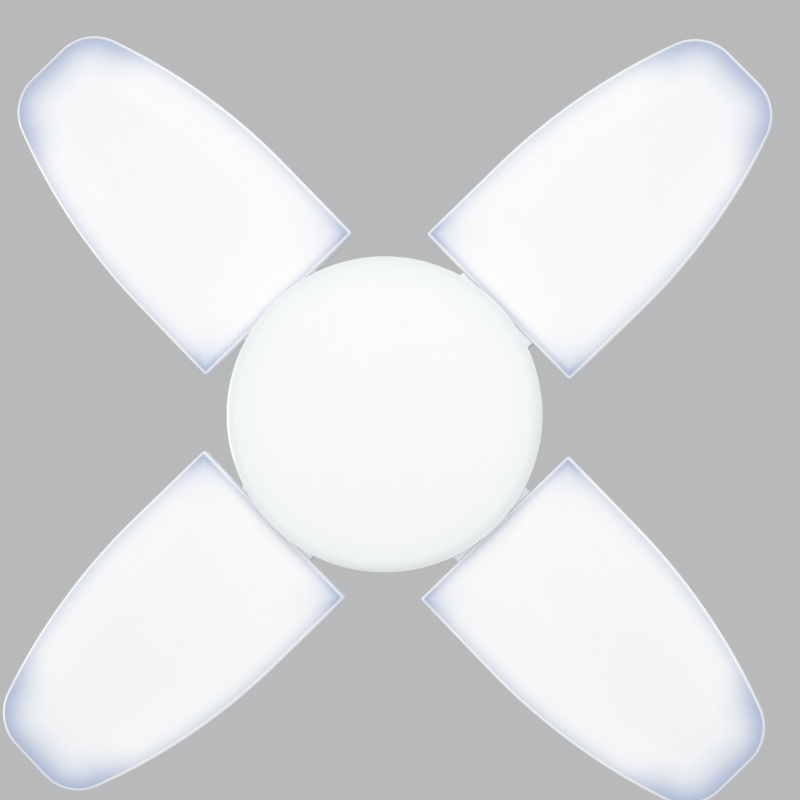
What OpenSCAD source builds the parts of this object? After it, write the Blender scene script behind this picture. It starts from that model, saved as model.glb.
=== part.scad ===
// Deformable garage light: a screw-cap LED lamp with a round centre light and four folding blades.
// Millimetres. The lamp hangs along Z from its screw cap, and the origin is the middle of the cap's
// end contact. Blade 1 points along +X and the others follow every 90 degrees.

/* [Screw cap] */
// Diameter over the crests of the screw thread
cap_crest_d = 26.2; // [25.6:0.1:26.6]
// Diameter at the roots of the screw thread
cap_root_d = 24.2; // [23.8:0.1:24.6]
// Pitch of the screw thread
thread_pitch = 3.63; // [3.5:0.01:3.75]
// Height of the threaded shell
shell_h = 21.5; // [19:0.5:24]
// Thickness of the shell's sheet metal
shell_wall = 0.5; // [0.4:0.1:0.7]
// Height of the insulator above the shell
insulator_h = 4.8; // [4:0.2:6]
// How far the insulator plugs into the shell
insulator_plug_h = 3; // [2:0.5:5]
// Diameter of the end contact
contact_d = 9.6; // [8:0.2:11]
// Diameter of the contact's flat face
contact_face_d = 6.4; // [4:0.2:7]
// Height of the end contact
contact_h = 1.2; // [0.8:0.1:2]

/* [Driver housing] */
// Diameter of the neck under the screw cap
neck_d = 36; // [34:1:40]
// Diameter of the bell where it sits on the hub plate
bell_d = 86; // [84:0.5:87]
// Height of the housing from the hub plate to the screw cap
housing_h = 56.5; // [54:0.5:66]
// Height of the bell's straight wall
bell_wall_h = 18; // [16:0.5:22]
// Height of the flare from the bell to the neck
flare_h = 25; // [20:0.5:28]
// Radius of the rounding between the bell's wall and the flare
shoulder_r = 10; // [6:0.5:12]
// Radius of the rounding between the flare and the neck
throat_r = 8; // [4:0.5:10]
// Wall thickness of the housing
housing_wall = 2; // [1.6:0.1:2.4]
// Height of the collar that carries the screw shell
collar_h = 12; // [8:0.5:14]
// Number of air slots round the flare
vent_count = 24; // [12:4:28]
// Width of an air slot
vent_w = 2.2; // [1.4:0.1:3]
// Radius where the air slots begin
vent_in_r = 23.5; // [22:0.5:26]
// Radius where the air slots end
vent_out_r = 37; // [34:0.5:38]
// Diameter of the wire holes through the bell
wire_hole_d = 5; // [4.4:0.2:6]
// Height of the bosses for the hub screws
boss_h = 13; // [11:0.5:14]
// Wall of the screw bosses
boss_wall = 1.8; // [1.4:0.1:2.2]

/* [Hub] */
// Diameter of the hub and its diffuser
hub_d = 116; // [115:0.5:117]
// Thickness of the hub plate
plate_t = 2.4; // [2:0.1:3.2]
// Thickness of the flange on the diffuser's rim
flange_t = 1.6; // [1.2:0.1:1.9]
// Depth of the spigot inside the diffuser
spigot_h = 6; // [5:0.5:6.5]
// Wall of the spigot and of the locating ring
spigot_wall = 1.6; // [1.2:0.1:2]
// Height of the ring that locates the bell
locating_h = 3; // [2:0.5:4]
// Diameter of the wire hole in the hub plate and the heat spreader
hub_hole_d = 16; // [12:1:20]
// Diameter of the wire hole in the hub's LED board
board_hole_d = 7; // [6:0.5:9]
// Thickness of the heat spreader
spreader_t = 1.5; // [1:0.1:2]
// Depth of the hub diffuser from the flange to its front
hub_diffuser_h = 12.4; // [11.6:0.2:16]
// Wall of the hub diffuser
hub_diffuser_wall = 1.6; // [1.4:0.1:2]
// Radius of the hub diffuser's rounded edge
hub_edge_r = 3.6; // [2.5:0.1:4]
// How far the hub diffuser bulges
hub_bulge = 2.4; // [1:0.1:2.6]
// Width of the snap lugs that hold the hub diffuser
lug_w = 9; // [6:0.5:12]

/* [Blades] */
// Distance from the lamp's axis to a blade's inner edge
blade_start = 57.5; // [57:0.5:60]
// Width of a blade
blade_w = 76; // [72:1:80]
// Length of a blade
blade_l = 126.5; // [120:0.5:140]
// Length of a blade's parallel sides
blade_straight_l = 37; // [32:1:45]
// Radius of a blade's curved sides
blade_side_r = 230; // [215:5:260]
// Radius of a blade's tip corners
blade_tip_r = 17.5; // [14:0.5:20]
// Radius of a blade's inner corners
blade_root_r = 1; // [0.5:0.1:4]
// Height of a blade's back above the hinge axis
blade_above = 4.5; // [4.5:0.1:5.5]
// Depth of a blade's front below the hinge axis
blade_below = 7; // [6.6:0.1:7.2]
// Height of the back shell's side wall
back_h = 5.5; // [5.4:0.1:5.8]
// Wall of the back shell
back_wall = 1.8; // [1.5:0.1:1.9]
// Radius of the back shell's rounded edge
back_edge_r = 2.6; // [1.5:0.1:3]
// Wall of the blade diffuser
diffuser_wall = 1.6; // [1.2:0.1:1.8]
// Radius of the blade diffuser's rounded edge
diffuser_edge_r = 1.8; // [1:0.1:2.6]
// Height of the diffuser's lip inside the back shell
lip_h = 1.4; // [1:0.1:1.6]
// Thickness of the diffuser's lip
lip_t = 1; // [0.8:0.1:1.2]
// Number of rows of air slots in a blade's back
slot_rows = 11; // [5:1:12]
// Distance between two rows of air slots
slot_pitch = 8.6; // [7:0.2:8.8]
// Width of an air slot in a blade's back
slot_w = 2.6; // [1.6:0.1:3.2]
// Distance from a blade's inner edge to its first row of air slots
slot_start = 18; // [17.5:0.5:22]
// Solid margin between the air slots and a blade's side
slot_margin = 10; // [8:0.5:12]
// Half width of the solid spine between the air slots
slot_spine = 6; // [5.5:0.5:8]

/* [Hinges] */
// Distance from the lamp's axis to a hinge axis
hinge_out = 48.5; // [48.3:0.1:49]
// Height of the hinge axes above the hub plate
hinge_rise = 8; // [7.8:0.1:9]
// Diameter of a hinge knuckle
knuckle_d = 9; // [8:0.2:9]
// Width of the hinge tab
tab_w = 37; // [33:0.5:38]
// Width of the tab's window for the wires
window_w = 12; // [10:0.5:14]
// Thickness of a hinge ear
ear_t = 4; // [3:0.2:4.4]
// Diameter of a hinge screw's shank
pin_d = 4; // [3:0.1:4.4]
// Length of a hinge screw's shank inside the knuckle
pin_grip = 9; // [6:0.5:11]
// Thickness of a friction washer
washer_t = 0.7; // [0.5:0.05:1]

/* [LED boards] */
// Thickness of the LED boards
board_t = 1.5; // [1:0.1:1.6]
// Height of the bosses that carry a blade's board
standoff_h = 2; // [1.8:0.1:2.2]
// Distance from a blade's outer edge to its board
board_inset = 3.6; // [3.5:0.1:5]
// Distance from a blade's inner edge to its first row of LEDs
led_start = 14; // [12:0.5:20]
// Rows of LEDs along a blade
led_rows = 8; // [4:1:8]
// Distance between two rows of LEDs
led_pitch = 13.2; // [9:0.2:13.4]
// Length of an LED
led_l = 3.5; // [2.8:0.1:4]
// Width of an LED
led_w = 2.8; // [2:0.1:3.2]
// Height of an LED
led_h = 0.7; // [0.5:0.1:1]
// Number of LEDs in the hub's inner ring
inner_led_count = 12; // [6:1:16]
// Number of LEDs in the hub's outer ring
outer_led_count = 20; // [12:1:28]
// Radius of the hub's inner ring of LEDs
hub_led_in_r = 24; // [20:0.5:28]
// Radius of the hub's outer ring of LEDs
hub_led_out_r = 46; // [44.5:0.5:47]

/* [Screws] */
// Diameter of the hub screws and board screws
screw_d = 3; // [2.5:0.1:3.2]
// Diameter of their heads
screw_head_d = 5.4; // [4.6:0.1:5.8]
// Height of their heads
screw_head_h = 1.5; // [1.2:0.1:1.8]
// Length of a hub screw
hub_screw_l = 14; // [12:0.5:15]
// Length of a board screw
board_screw_l = 4.2; // [3.6:0.1:4.4]
// Diameter of a hinge screw's head
hinge_head_d = 7; // [6:0.2:8]
// Height of a hinge screw's head
hinge_head_h = 2; // [1.5:0.1:2.5]

/* [Driver] */
// Width of the driver board
driver_w = 28; // [26:0.5:29]
// Height of the driver board
driver_h = 40; // [38:0.5:44]
// Thickness of the driver board
driver_t = 1.6; // [1.2:0.1:2]
// Diameter of a wire over its insulation
wire_d = 1.3; // [1:0.1:1.4]

/* [Hidden] */

blades = 4;
fit = 0.05;      // radial clearance of a running or seated fit
gap = 0.2;       // clearance between loose neighbours
overlap = 0.5;   // depth by which joined shapes of one piece run into each other
wide_fn = 128;
round_fn = 64;

// Levels along the lamp's axis, from the contact downwards
z_contact = -contact_h;
z_shell_top = z_contact - insulator_h;
z_shell = z_shell_top - shell_h;
z_plate = z_shell - housing_h;
z_flange = z_plate - flange_t;
z_plate_low = z_plate - plate_t;
z_hub_board = z_plate_low - spreader_t;
z_hub_leds = z_hub_board - board_t;
z_front = z_flange - hub_diffuser_h;
z_hinge = z_plate + hinge_rise;
z_back = z_hinge + blade_above;
z_blade_front = z_hinge - blade_below;
z_parting = z_back - back_h;
z_inside = z_back - back_wall;
z_board = z_inside - standoff_h;
z_leds = z_board - board_t;
z_driver_top = z_shell - housing_wall;
z_driver_low = z_driver_top - driver_h;

// Radii round the lamp's axis
crest_r = cap_crest_d / 2;
root_r = cap_root_d / 2;
plug_r = root_r - shell_wall - fit;
neck_r = neck_d / 2;
bell_r = bell_d / 2;
bell_in_r = bell_r - housing_wall;
hub_r = hub_d / 2;
spigot_r = hub_r - hub_diffuser_wall - gap;
spreader_r = spigot_r - spigot_wall - 1;
hub_board_r = spreader_r - 1.5;
screw_hole_r = screw_d / 2 + fit;
boss_r = screw_d / 2 + boss_wall;
boss_space = 0.6;
boss_out = bell_in_r - boss_r - boss_space;
knuckle_r = knuckle_d / 2;
wire_r = wire_d / 2;

function circle_points(centre, r, from, to, steps) =
    [for (i = [0 : steps]) let(a = from + (to - from) * i / steps) centre + r * [cos(a), sin(a)]];

function reversed(list) = [for (i = [len(list) - 1 : -1 : 0]) list[i]];

// A wire of diameter d along a route of points
wire_sides = 8;
function unit(v) = v / norm(v);
function direction(route, i) = unit(route[min(i + 1, len(route) - 1)] - route[max(i - 1, 0)]);
module wire(route, d) {
    n = wire_sides;
    last = len(route) - 1;
    run = route[last] - route[0];
    side_ref = abs(run.y) > abs(run.x) ? [1, 0, 0] : [0, 1, 0];
    rings = [for (i = [0 : last])
        let(t = direction(route, i), a = unit(cross(t, side_ref)), b = cross(t, a))
        [for (j = [0 : n - 1]) route[i] + d / 2 * (cos(360 * j / n) * a + sin(360 * j / n) * b)]];
    polyhedron(
        points = [for (r = rings) for (p = r) p],
        faces = concat(
            [[for (j = [0 : n - 1]) j]],
            [[for (j = [n - 1 : -1 : 0]) last * n + j]],
            [for (k = [0 : last - 1]) for (j = [0 : n - 1])
                [k * n + (j + 1) % n, k * n + j, (k + 1) * n + j]],
            [for (k = [0 : last - 1]) for (j = [0 : n - 1])
                [k * n + (j + 1) % n, (k + 1) * n + j, (k + 1) * n + (j + 1) % n]]));
}

// A screw that bears on z = 0, with its shank above and its head with a cross recess below
recess_w = 0.9;
recess_share = 0.6;
module screw(shank_d, shank_l, head_d, head_h) {
    edge = head_h * 0.4;
    recess_l = head_d * recess_share;
    recess_h = head_h * recess_share;
    difference() {
        union() {
            cylinder(h = shank_l, d = shank_d, $fn = round_fn);
            rotate_extrude($fn = round_fn)
                polygon([[0, 0], [head_d / 2, 0], [head_d / 2, edge - head_h],
                    [head_d / 2 - edge, -head_h], [0, -head_h]]);
        }
        for (a = [0, 90])
            rotate([0, 0, a])
                translate([-recess_l / 2, -recess_w / 2, -head_h - 1])
                    cube([recess_l, recess_w, recess_h + 1]);
    }
}

// A slot with round ends along X, from x0 to x1
module slot_shape(x0, x1, w) {
    translate([x0 + w / 2, -w / 2]) square([x1 - x0 - w, w]);
    for (x = [x0 + w / 2, x1 - w / 2])
        translate([x, 0]) circle(d = w, $fn = 32);
}

module at_blade(n) {
    rotate([0, 0, 90 * (n - 1)]) children();
}

module at_hub_screws() {
    for (n = [1 : blades])
        rotate([0, 0, 90 * n - 45])
            translate([boss_out, 0, 0]) children();
}

// ---- Screw cap ----

module cap_contact() {
    color("silver")
        rotate_extrude($fn = round_fn)
            polygon([[0, z_contact], [contact_d / 2, z_contact], [contact_d / 2, z_contact * 0.55],
                [contact_face_d / 2, 0], [0, 0]]);
}

insulator_edge = 0.8;
module cap_insulator() {
    bore_r = wire_r + gap;
    color("#1b1b1e")
        rotate_extrude($fn = round_fn)
            polygon([[bore_r, z_shell_top - insulator_plug_h],
                [plug_r, z_shell_top - insulator_plug_h], [plug_r, z_shell_top],
                [root_r, z_shell_top], [root_r - insulator_edge, z_shell_top + insulator_edge],
                [contact_d / 2 + insulator_edge, z_contact], [bore_r, z_contact]]);
}

// The thread's surface: a wave that climbs one pitch a turn and fades out at both ends
thread_sides = 36;
rows_per_pitch = 6;
fade_h = 2.4;
function thread_share(z) =
    max(0, min(1, (z - z_shell) / fade_h - 0.6, (z_shell_top - z) / fade_h - 0.1));
function thread_r(a, z) =
    root_r + (crest_r - root_r) * thread_share(z) * (1 + cos(360 * z / thread_pitch - a)) / 2;

module cap_shell() {
    n = thread_sides;
    rows = ceil(shell_h / thread_pitch * rows_per_pitch);
    color("#c9c9c6")
        difference() {
            polyhedron(
                points = [for (k = [0 : rows]) let(z = z_shell + shell_h * k / rows)
                    for (j = [0 : n - 1]) let(a = 360 * j / n, r = thread_r(a, z))
                        [r * cos(a), r * sin(a), z]],
                faces = concat(
                    [[for (j = [0 : n - 1]) j]],
                    [[for (j = [n - 1 : -1 : 0]) rows * n + j]],
                    [for (k = [0 : rows - 1]) for (j = [0 : n - 1])
                        [k * n + (j + 1) % n, k * n + j, (k + 1) * n + j]],
                    [for (k = [0 : rows - 1]) for (j = [0 : n - 1])
                        [k * n + (j + 1) % n, (k + 1) * n + j, (k + 1) * n + (j + 1) % n]]));
            translate([0, 0, z_shell - 1])
                cylinder(h = shell_h + 2, r = root_r - shell_wall, $fn = round_fn);
        }
}

// ---- Driver housing ----

// The flare's profile: a convex arc, a straight cone and a concave arc, "inset" inside the outer face
z_flare = z_plate + bell_wall_h;
flare_a = atan2(bell_r - neck_r, flare_h);
shoulder_centre = [bell_r - shoulder_r, z_flare - shoulder_r * tan(flare_a / 2)];
throat_centre = [neck_r + throat_r, z_flare + flare_h + throat_r * tan(flare_a / 2)];
flare_steps = 5;
function flare_side(inset) = concat(
    circle_points(shoulder_centre, shoulder_r - inset, 0, flare_a, flare_steps),
    circle_points(throat_centre, -throat_r - inset, flare_a, 0, flare_steps));

module housing_shell() {
    collar_in_r = plug_r - housing_wall;
    rotate([0, 0, 360 / vent_count])
        rotate_extrude($fn = wide_fn)
            polygon(concat(
                [[bell_in_r, z_plate], [bell_r, z_plate]],
                flare_side(0),
                [[neck_r, z_shell - 1], [neck_r - 1, z_shell],
                    [plug_r, z_shell], [plug_r, z_shell + collar_h],
                    [collar_in_r, z_shell + collar_h], [collar_in_r, z_driver_top],
                    [neck_r - housing_wall, z_driver_top]],
                reversed(flare_side(housing_wall))));
}

// Two grooved rails in the neck that the driver board slides into
rail_wall = 1.2;
groove_depth = 1;
module driver_rails() {
    rail_h = driver_h - 4;
    rail_in_x = driver_w / 2 - groove_depth;
    difference() {
        intersection() {
            for (s = [-1, 1])
                translate([s * (rail_in_x + neck_r) / 2, 0, z_driver_top - rail_h / 2 + overlap / 2])
                    cube([neck_r - rail_in_x, driver_t + 2 * (gap + rail_wall), rail_h + overlap],
                        center = true);
            translate([0, 0, z_driver_top - rail_h - 1])
                cylinder(h = rail_h + 2, r = neck_r - housing_wall / 2, $fn = wide_fn);
        }
        translate([0, 0, z_driver_top - driver_h / 2])
            cube([driver_w + 2 * fit, driver_t + 2 * fit, driver_h], center = true);
    }
}

module air_slots() {
    for (n = [1 : vent_count])
        rotate([0, 0, 360 * (n + 0.5) / vent_count])
            translate([0, 0, z_flare + 2])
                linear_extrude(flare_h) slot_shape(vent_in_r, vent_out_r, vent_w);
}

// A boss for a hub screw, with a rib that joins it to the bell's wall
module screw_boss() {
    translate([0, 0, z_plate]) {
        cylinder(h = boss_h, r = boss_r, $fn = round_fn);
        translate([0, -boss_wall / 2, 0])
            cube([boss_r + boss_space + housing_wall / 2, boss_wall, boss_h]);
    }
}

module driver_housing() {
    color("#f2f2f0")
        difference() {
            union() {
                difference() {
                    housing_shell();
                    air_slots();
                }
                driver_rails();
                at_hub_screws() screw_boss();
            }
            at_hub_screws()
                translate([0, 0, z_plate - 1])
                    cylinder(h = hub_screw_l, r = screw_hole_r, $fn = round_fn);
            for (n = [1 : blades])
                at_blade(n)
                    translate([bell_in_r - 2, 0, z_hinge])
                        rotate([0, 90, 0])
                            cylinder(h = housing_wall + 4, d = wire_hole_d, $fn = round_fn);
        }
}

// ---- Hub ----

// A lug on the spigot at each hub screw's angle; "extra" widens it into the diffuser's pocket
lug_t = 0.7;
lug_h = 1.4;
lug_drop = 3;
module snap_lugs(extra) {
    for (n = [1 : blades])
        rotate([0, 0, 90 * n - 45])
            translate([spigot_r - spigot_wall / 2, -lug_w / 2 - extra, z_flange - lug_drop - extra])
                cube([spigot_wall / 2 + lug_t + extra, lug_w + 2 * extra, lug_h + 2 * extra]);
}

module hub_frame() {
    ear_y = tab_w / 2 + washer_t + 2 * fit;
    color("#eeeeec")
        difference() {
            union() {
                translate([0, 0, z_flange])
                    cylinder(h = flange_t, r = hub_r, $fn = wide_fn);
                translate([0, 0, z_plate_low])
                    cylinder(h = plate_t, r = spigot_r, $fn = wide_fn);
                rotate_extrude($fn = wide_fn)
                    translate([spigot_r - spigot_wall, z_flange - spigot_h])
                        square([spigot_wall, spigot_h + overlap]);
                rotate_extrude($fn = wide_fn)
                    translate([bell_in_r - gap - spigot_wall, z_plate - overlap])
                        square([spigot_wall, locating_h + overlap]);
                snap_lugs(0);
                for (n = [1 : blades], s = [-1, 1])
                    at_blade(n)
                        translate([hinge_out, s * (ear_y + ear_t / 2), 0]) {
                            translate([-knuckle_r, -ear_t / 2, z_flange])
                                cube([knuckle_d, ear_t, z_hinge - z_flange]);
                            translate([0, ear_t / 2, z_hinge])
                                rotate([90, 0, 0])
                                    cylinder(h = ear_t, r = knuckle_r, $fn = round_fn);
                        }
            }
            translate([0, 0, z_plate_low - 1])
                cylinder(h = plate_t + 2, d = hub_hole_d, $fn = round_fn);
            at_hub_screws() {
                translate([0, 0, z_plate])
                    cylinder(h = locating_h + 1, r = bell_in_r - boss_out, $fn = round_fn);
                translate([0, 0, z_plate_low - 1])
                    cylinder(h = plate_t + 2, r = screw_hole_r, $fn = round_fn);
            }
            for (n = [1 : blades])
                at_blade(n)
                    translate([hinge_out, hub_r / 2, z_hinge])
                        rotate([90, 0, 0])
                            cylinder(h = hub_r, d = pin_d + 2 * fit, $fn = round_fn);
        }
}

module hub_disc(r, z, t, hole_d) {
    difference() {
        translate([0, 0, z]) cylinder(h = t, r = r, $fn = wide_fn);
        translate([0, 0, z - 1]) cylinder(h = t + 2, d = hole_d, $fn = round_fn);
        at_hub_screws()
            translate([0, 0, z - 1]) cylinder(h = t + 2, r = screw_hole_r, $fn = round_fn);
    }
}

module hub_heat_spreader() {
    color("#a9adb2") hub_disc(spreader_r, z_hub_board, spreader_t, hub_hole_d);
}

module hub_led_board() {
    color("#f4f5f6") hub_disc(hub_board_r, z_hub_leds, board_t, board_hole_d);
}

module led(z) {
    translate([-led_l / 2, -led_w / 2, z - led_h]) cube([led_l, led_w, led_h]);
}

module hub_leds() {
    color("#f3d66b")
        for (ring = [[inner_led_count, hub_led_in_r], [outer_led_count, hub_led_out_r]])
            for (i = [1 : ring[0]])
                rotate([0, 0, 360 * (i + 0.5) / ring[0]])
                    translate([ring[1], 0, 0]) led(z_hub_leds);
}

// Profile of the hub diffuser, drawn "inset" inside its outer face: rounded edge and bulging front
dome_steps = 8;
edge_steps = 6;
function diffuser_profile(inset) = let(
        r = hub_r - inset, edge = hub_edge_r - inset, flat_r = hub_r - hub_edge_r,
        z_edge = z_front + hub_bulge + hub_edge_r)
    concat(
        [[r, z_flange + (inset > 0 ? 1 : 0)]],
        circle_points([flat_r, z_edge], edge, 0, -90, edge_steps),
        [for (i = [1 : dome_steps]) let(t = i / dome_steps)
            [flat_r * (1 - t), z_front + inset + hub_bulge * pow(1 - t, 2)]],
        [[0, z_flange + (inset > 0 ? 1 : 0)]]);

module hub_diffuser() {
    color("#fbfdff")
        difference() {
            rotate_extrude($fn = wide_fn) polygon(diffuser_profile(0));
            rotate_extrude($fn = wide_fn) polygon(diffuser_profile(hub_diffuser_wall));
            snap_lugs(gap / 2);
        }
}

module hub_screws() {
    color("#8e9196")
        at_hub_screws()
            translate([0, 0, z_hub_leds])
                screw(screw_d, hub_screw_l, screw_head_d, screw_head_h);
}

// ---- Driver ----

module driver_board() {
    color("#2f6b3f")
        translate([-driver_w / 2, -driver_t / 2, z_driver_low])
            cube([driver_w, driver_t, driver_h]);
}

// Components stand on the board's front face (+Y), apart from the controller on its back face.
// Their rises are from the board's lower edge, and the fuse's drop is from its upper edge.
board_face_y = driver_t / 2;
can_rise = 2;
choke_rise = 24;
bridge_rise = 25;
controller_rise = 22;
fuse_drop = 11;
capacitor_d = 10;
capacitor_h = 16;
module driver_capacitor() {
    color("#30384f")
        translate([-driver_w / 4, board_face_y + capacitor_d / 2, z_driver_low + can_rise])
            difference() {
                cylinder(h = capacitor_h, d = capacitor_d, $fn = round_fn);
                rotate_extrude($fn = round_fn)
                    translate([capacitor_d / 2, capacitor_h * 0.12])
                        circle(d = 0.9, $fn = 16);
                translate([0, 0, capacitor_h - 0.3])
                    for (a = [0, 90])
                        rotate([0, 0, a])
                            translate([-capacitor_d * 0.35, -0.2, 0])
                                cube([capacitor_d * 0.7, 0.4, 1]);
            }
}

core_w = 12;
core_h = 14;
core_t = 9;
module driver_transformer() {
    color("#c9a227")
        translate([driver_w / 4 - core_w / 2, board_face_y, z_driver_low + can_rise]) {
            cube([core_w, core_t * 0.3, core_h]);
            translate([0, 0, core_h / 2 - 1.5]) cube([core_w, core_t, 3]);
            for (z = [0, core_h - 2.5]) translate([0, 0, z]) cube([core_w, core_t, 2.5]);
            translate([core_w / 2, core_t / 2, 1])
                cylinder(h = core_h - 2, d = core_t * 0.85, $fn = round_fn);
        }
}

choke_d = 8;
module driver_choke() {
    color("#7a4a2a")
        translate([driver_w / 4, board_face_y, z_driver_low + choke_rise])
            rotate([-90, 0, 0]) {
                cylinder(h = 1.2, d = choke_d, $fn = round_fn);
                cylinder(h = 8, d = choke_d * 0.8, $fn = round_fn);
                translate([0, 0, 6.8]) cylinder(h = 1.2, d = choke_d, $fn = round_fn);
            }
}

// A moulded package on legs that stand on the board
leg_w = 0.6;
module package(w, h, t, legs) {
    translate([-w / 2, 0.4, -h / 2]) cube([w, t, h]);
    for (s = [-1, 1], i = [0 : legs - 1])
        translate([s * (w / 2 + 0.5) - 0.9, 0, h * ((i + 0.5) / legs - 0.5) - leg_w / 2])
            cube([1.8, 0.6, leg_w]);
}

module driver_bridge() {
    color("#26262a")
        translate([-driver_w / 4, board_face_y, z_driver_low + bridge_rise]) package(6, 5, 2.4, 2);
}

module driver_controller() {
    color("#202024")
        mirror([0, 1, 0])
            translate([0, board_face_y, z_driver_low + controller_rise]) package(4, 5, 1.5, 4);
}

fuse_d = 3.6;
fuse_h = 8;
module driver_fuse() {
    color("#2d7f86")
        translate([-driver_w / 3, board_face_y + fuse_d / 2, z_driver_top - fuse_drop])
            cylinder(h = fuse_h, d = fuse_d, $fn = round_fn);
}

// One wire from the end contact and one from the shell, down the collar to the board
module mains_leads() {
    solder_y = board_face_y + wire_r;
    z_solder = z_driver_top - 5;
    shell_y = root_r - shell_wall - wire_r;
    z_bend = z_shell_top - insulator_plug_h - 2.5;
    color("#b8862f") {
        wire([[0, 0, z_contact], [0, 0, z_bend + 1], [1, 1, z_bend - 2], [4, 3, z_bend - 10],
            [5, solder_y + 1, z_driver_top], [5, solder_y, z_solder + 2], [5, solder_y, z_solder]],
            wire_d);
        wire([[0, shell_y, z_bend + 1.2], [0, shell_y, z_bend], [-1, shell_y - 3, z_bend - 1.5],
            [-3, 5, z_bend - 5], [-5, solder_y + 2, z_driver_top],
            [-5, solder_y, z_solder + 2], [-5, solder_y, z_solder]], wire_d);
    }
}

// A wire pair to each blade's hinge, and one through the hub plate to the hub's LED board
wire_y = 1;
wire_end = 0.8;
feed_x = [10.5, 4, -10.5, -4];
function polar(n, u, v, z) = let(a = 90 * (n - 1)) [u * cos(a) - v * sin(a), u * sin(a) + v * cos(a), z];
module output_leads() {
    color("#b8862f") {
        for (n = [1 : blades], s = [-1, 1]) {
            x = feed_x[n - 1] + (n == 2 ? -s : s);
            wire([[x, 0, z_driver_low], [x, 0, z_driver_low - 2],
                polar(n, 18, s * wire_y, z_hinge - 1.5), polar(n, 27, s * wire_y, z_hinge - 1),
                polar(n, 35, s * wire_y, z_hinge), polar(n, bell_r, s * wire_y, z_hinge),
                polar(n, hinge_out - wire_end, s * wire_y, z_hinge)], wire_d);
        }
        for (s = [-1, 1])
            wire([[s * wire_y, 0, z_driver_low], [s * wire_y, 0, z_driver_low - 4],
                [s * 2 * wire_y, 0, z_plate + 2], [s * 2 * wire_y, 0, z_hub_leds + 0.5],
                [s * 2.6 * wire_y, 0, z_hub_leds - wire_r], [s * 4 * wire_y, 0, z_hub_leds - wire_r],
                [s * 6 * wire_y, 0, z_hub_leds - wire_r]], wire_d);
    }
}

// ---- Blades ----

// Blade outline: the centres of its side arcs and tip corner arcs
arc_x = blade_start + blade_straight_l;
side_drop = blade_side_r - blade_w / 2;
tip_x = blade_start + blade_l;
corner_x = tip_x - blade_tip_r;
corner_y = sqrt(pow(blade_side_r - blade_tip_r, 2) - pow(corner_x - arc_x, 2)) - side_drop;
corner_a = atan2(corner_y + side_drop, corner_x - arc_x);
side_steps = 12;
corner_steps = 8;
root_steps = 3;

// One side of a blade's outline, drawn "inset" inside its outer edge
function root_corner(inset) = let(r = max(blade_root_r - inset, 0.3))
    circle_points([blade_start + inset + r, blade_w / 2 - inset - r], r, 180, 90, root_steps);
function blade_half(inset) = concat(
    root_corner(inset),
    circle_points([arc_x, -side_drop], blade_side_r - inset, 90, corner_a, side_steps),
    [for (i = [1 : corner_steps]) let(a = corner_a * (1 - i / corner_steps))
        [corner_x, corner_y] + (blade_tip_r - inset) * [cos(a), sin(a)]]);
function blade_outline(inset) = let(half = blade_half(inset))
    concat(half, [for (p = reversed(half)) [p.x, -p.y]]);

function blade_half_width(x) = x <= arc_x ? blade_w / 2
    : sqrt(pow(blade_side_r, 2) - pow(x - arc_x, 2)) - side_drop;

module blade_prism(inset, from, to) {
    translate([0, 0, from]) linear_extrude(to - from) polygon(blade_outline(inset));
}

// A solid through a stack of [height, inset] outlines of a blade, lowest first
module blade_loft(levels) {
    n = len(blade_outline(0));
    last = len(levels) - 1;
    polyhedron(
        points = [for (l = levels) for (p = blade_outline(l[1])) [p.x, p.y, l[0]]],
        faces = concat(
            [[for (j = [n - 1 : -1 : 0]) j]],
            [[for (j = [0 : n - 1]) last * n + j]],
            [for (k = [0 : last - 1]) for (j = [0 : n - 1]) let(m = (j + 1) % n)
                [k * n + j, k * n + m, (k + 1) * n + m, (k + 1) * n + j]]));
}

// Levels of an edge that rounds from height z_side to height z_end
round_steps = 4;
function rounded_edge(z_side, z_end, r) = [for (i = [0 : round_steps]) let(a = 90 * i / round_steps)
    [z_side + (z_end - z_side) * sin(a), r * (1 - cos(a))]];

// The tab that joins a blade to its hinge, with a knuckle at its end
module hinge_tab() {
    z_low = z_hinge - knuckle_r;
    translate([hinge_out, tab_w / 2, z_hinge])
        rotate([90, 0, 0]) cylinder(h = tab_w, r = knuckle_r, $fn = round_fn);
    translate([hinge_out, -tab_w / 2, z_parting])
        cube([blade_start + back_edge_r - hinge_out, tab_w, z_hinge + knuckle_r - z_parting]);
    translate([hinge_out, -tab_w / 2, z_low])
        cube([blade_start - gap - hinge_out, tab_w, z_parting + overlap - z_low]);
}

// Distances from a blade's inner edge to the screws of its board
board_screw_at = [12, 60, 106];
lead_hole_d = 4;
lead_hole_sill = 0.7;
lead_hole_z = z_parting + lead_hole_sill + lead_hole_d / 2;

module blade_back(n) {
    color("#f1f1ef")
        at_blade(n)
            difference() {
                union() {
                    difference() {
                        union() {
                            blade_loft(concat([[z_parting, 0]],
                                rounded_edge(z_back - back_edge_r, z_back, back_edge_r)));
                            hinge_tab();
                        }
                        blade_prism(back_wall, z_parting - 1, z_inside);
                    }
                    for (d = board_screw_at)
                        translate([blade_start + d, 0, z_board])
                            cylinder(h = standoff_h + overlap, r = boss_r, $fn = round_fn);
                }
                for (d = board_screw_at)
                    translate([blade_start + d, 0, z_leds])
                        cylinder(h = board_screw_l + gap, r = screw_hole_r, $fn = round_fn);
                blade_slots();
                translate([hinge_out - knuckle_r - 1, -window_w / 2, z_hinge - knuckle_r - 1])
                    cube([blade_start - hinge_out + knuckle_r + 1, window_w, knuckle_d + blade_above]);
                translate([hinge_out, tab_w / 2 + 1, z_hinge])
                    rotate([90, 0, 0])
                        cylinder(h = tab_w + 2, d = pin_d + 2 * fit, $fn = round_fn);
                translate([blade_start - 1, 0, lead_hole_z])
                    rotate([0, 90, 0])
                        cylinder(h = back_wall + 2, d = lead_hole_d, $fn = round_fn);
            }
}

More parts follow.
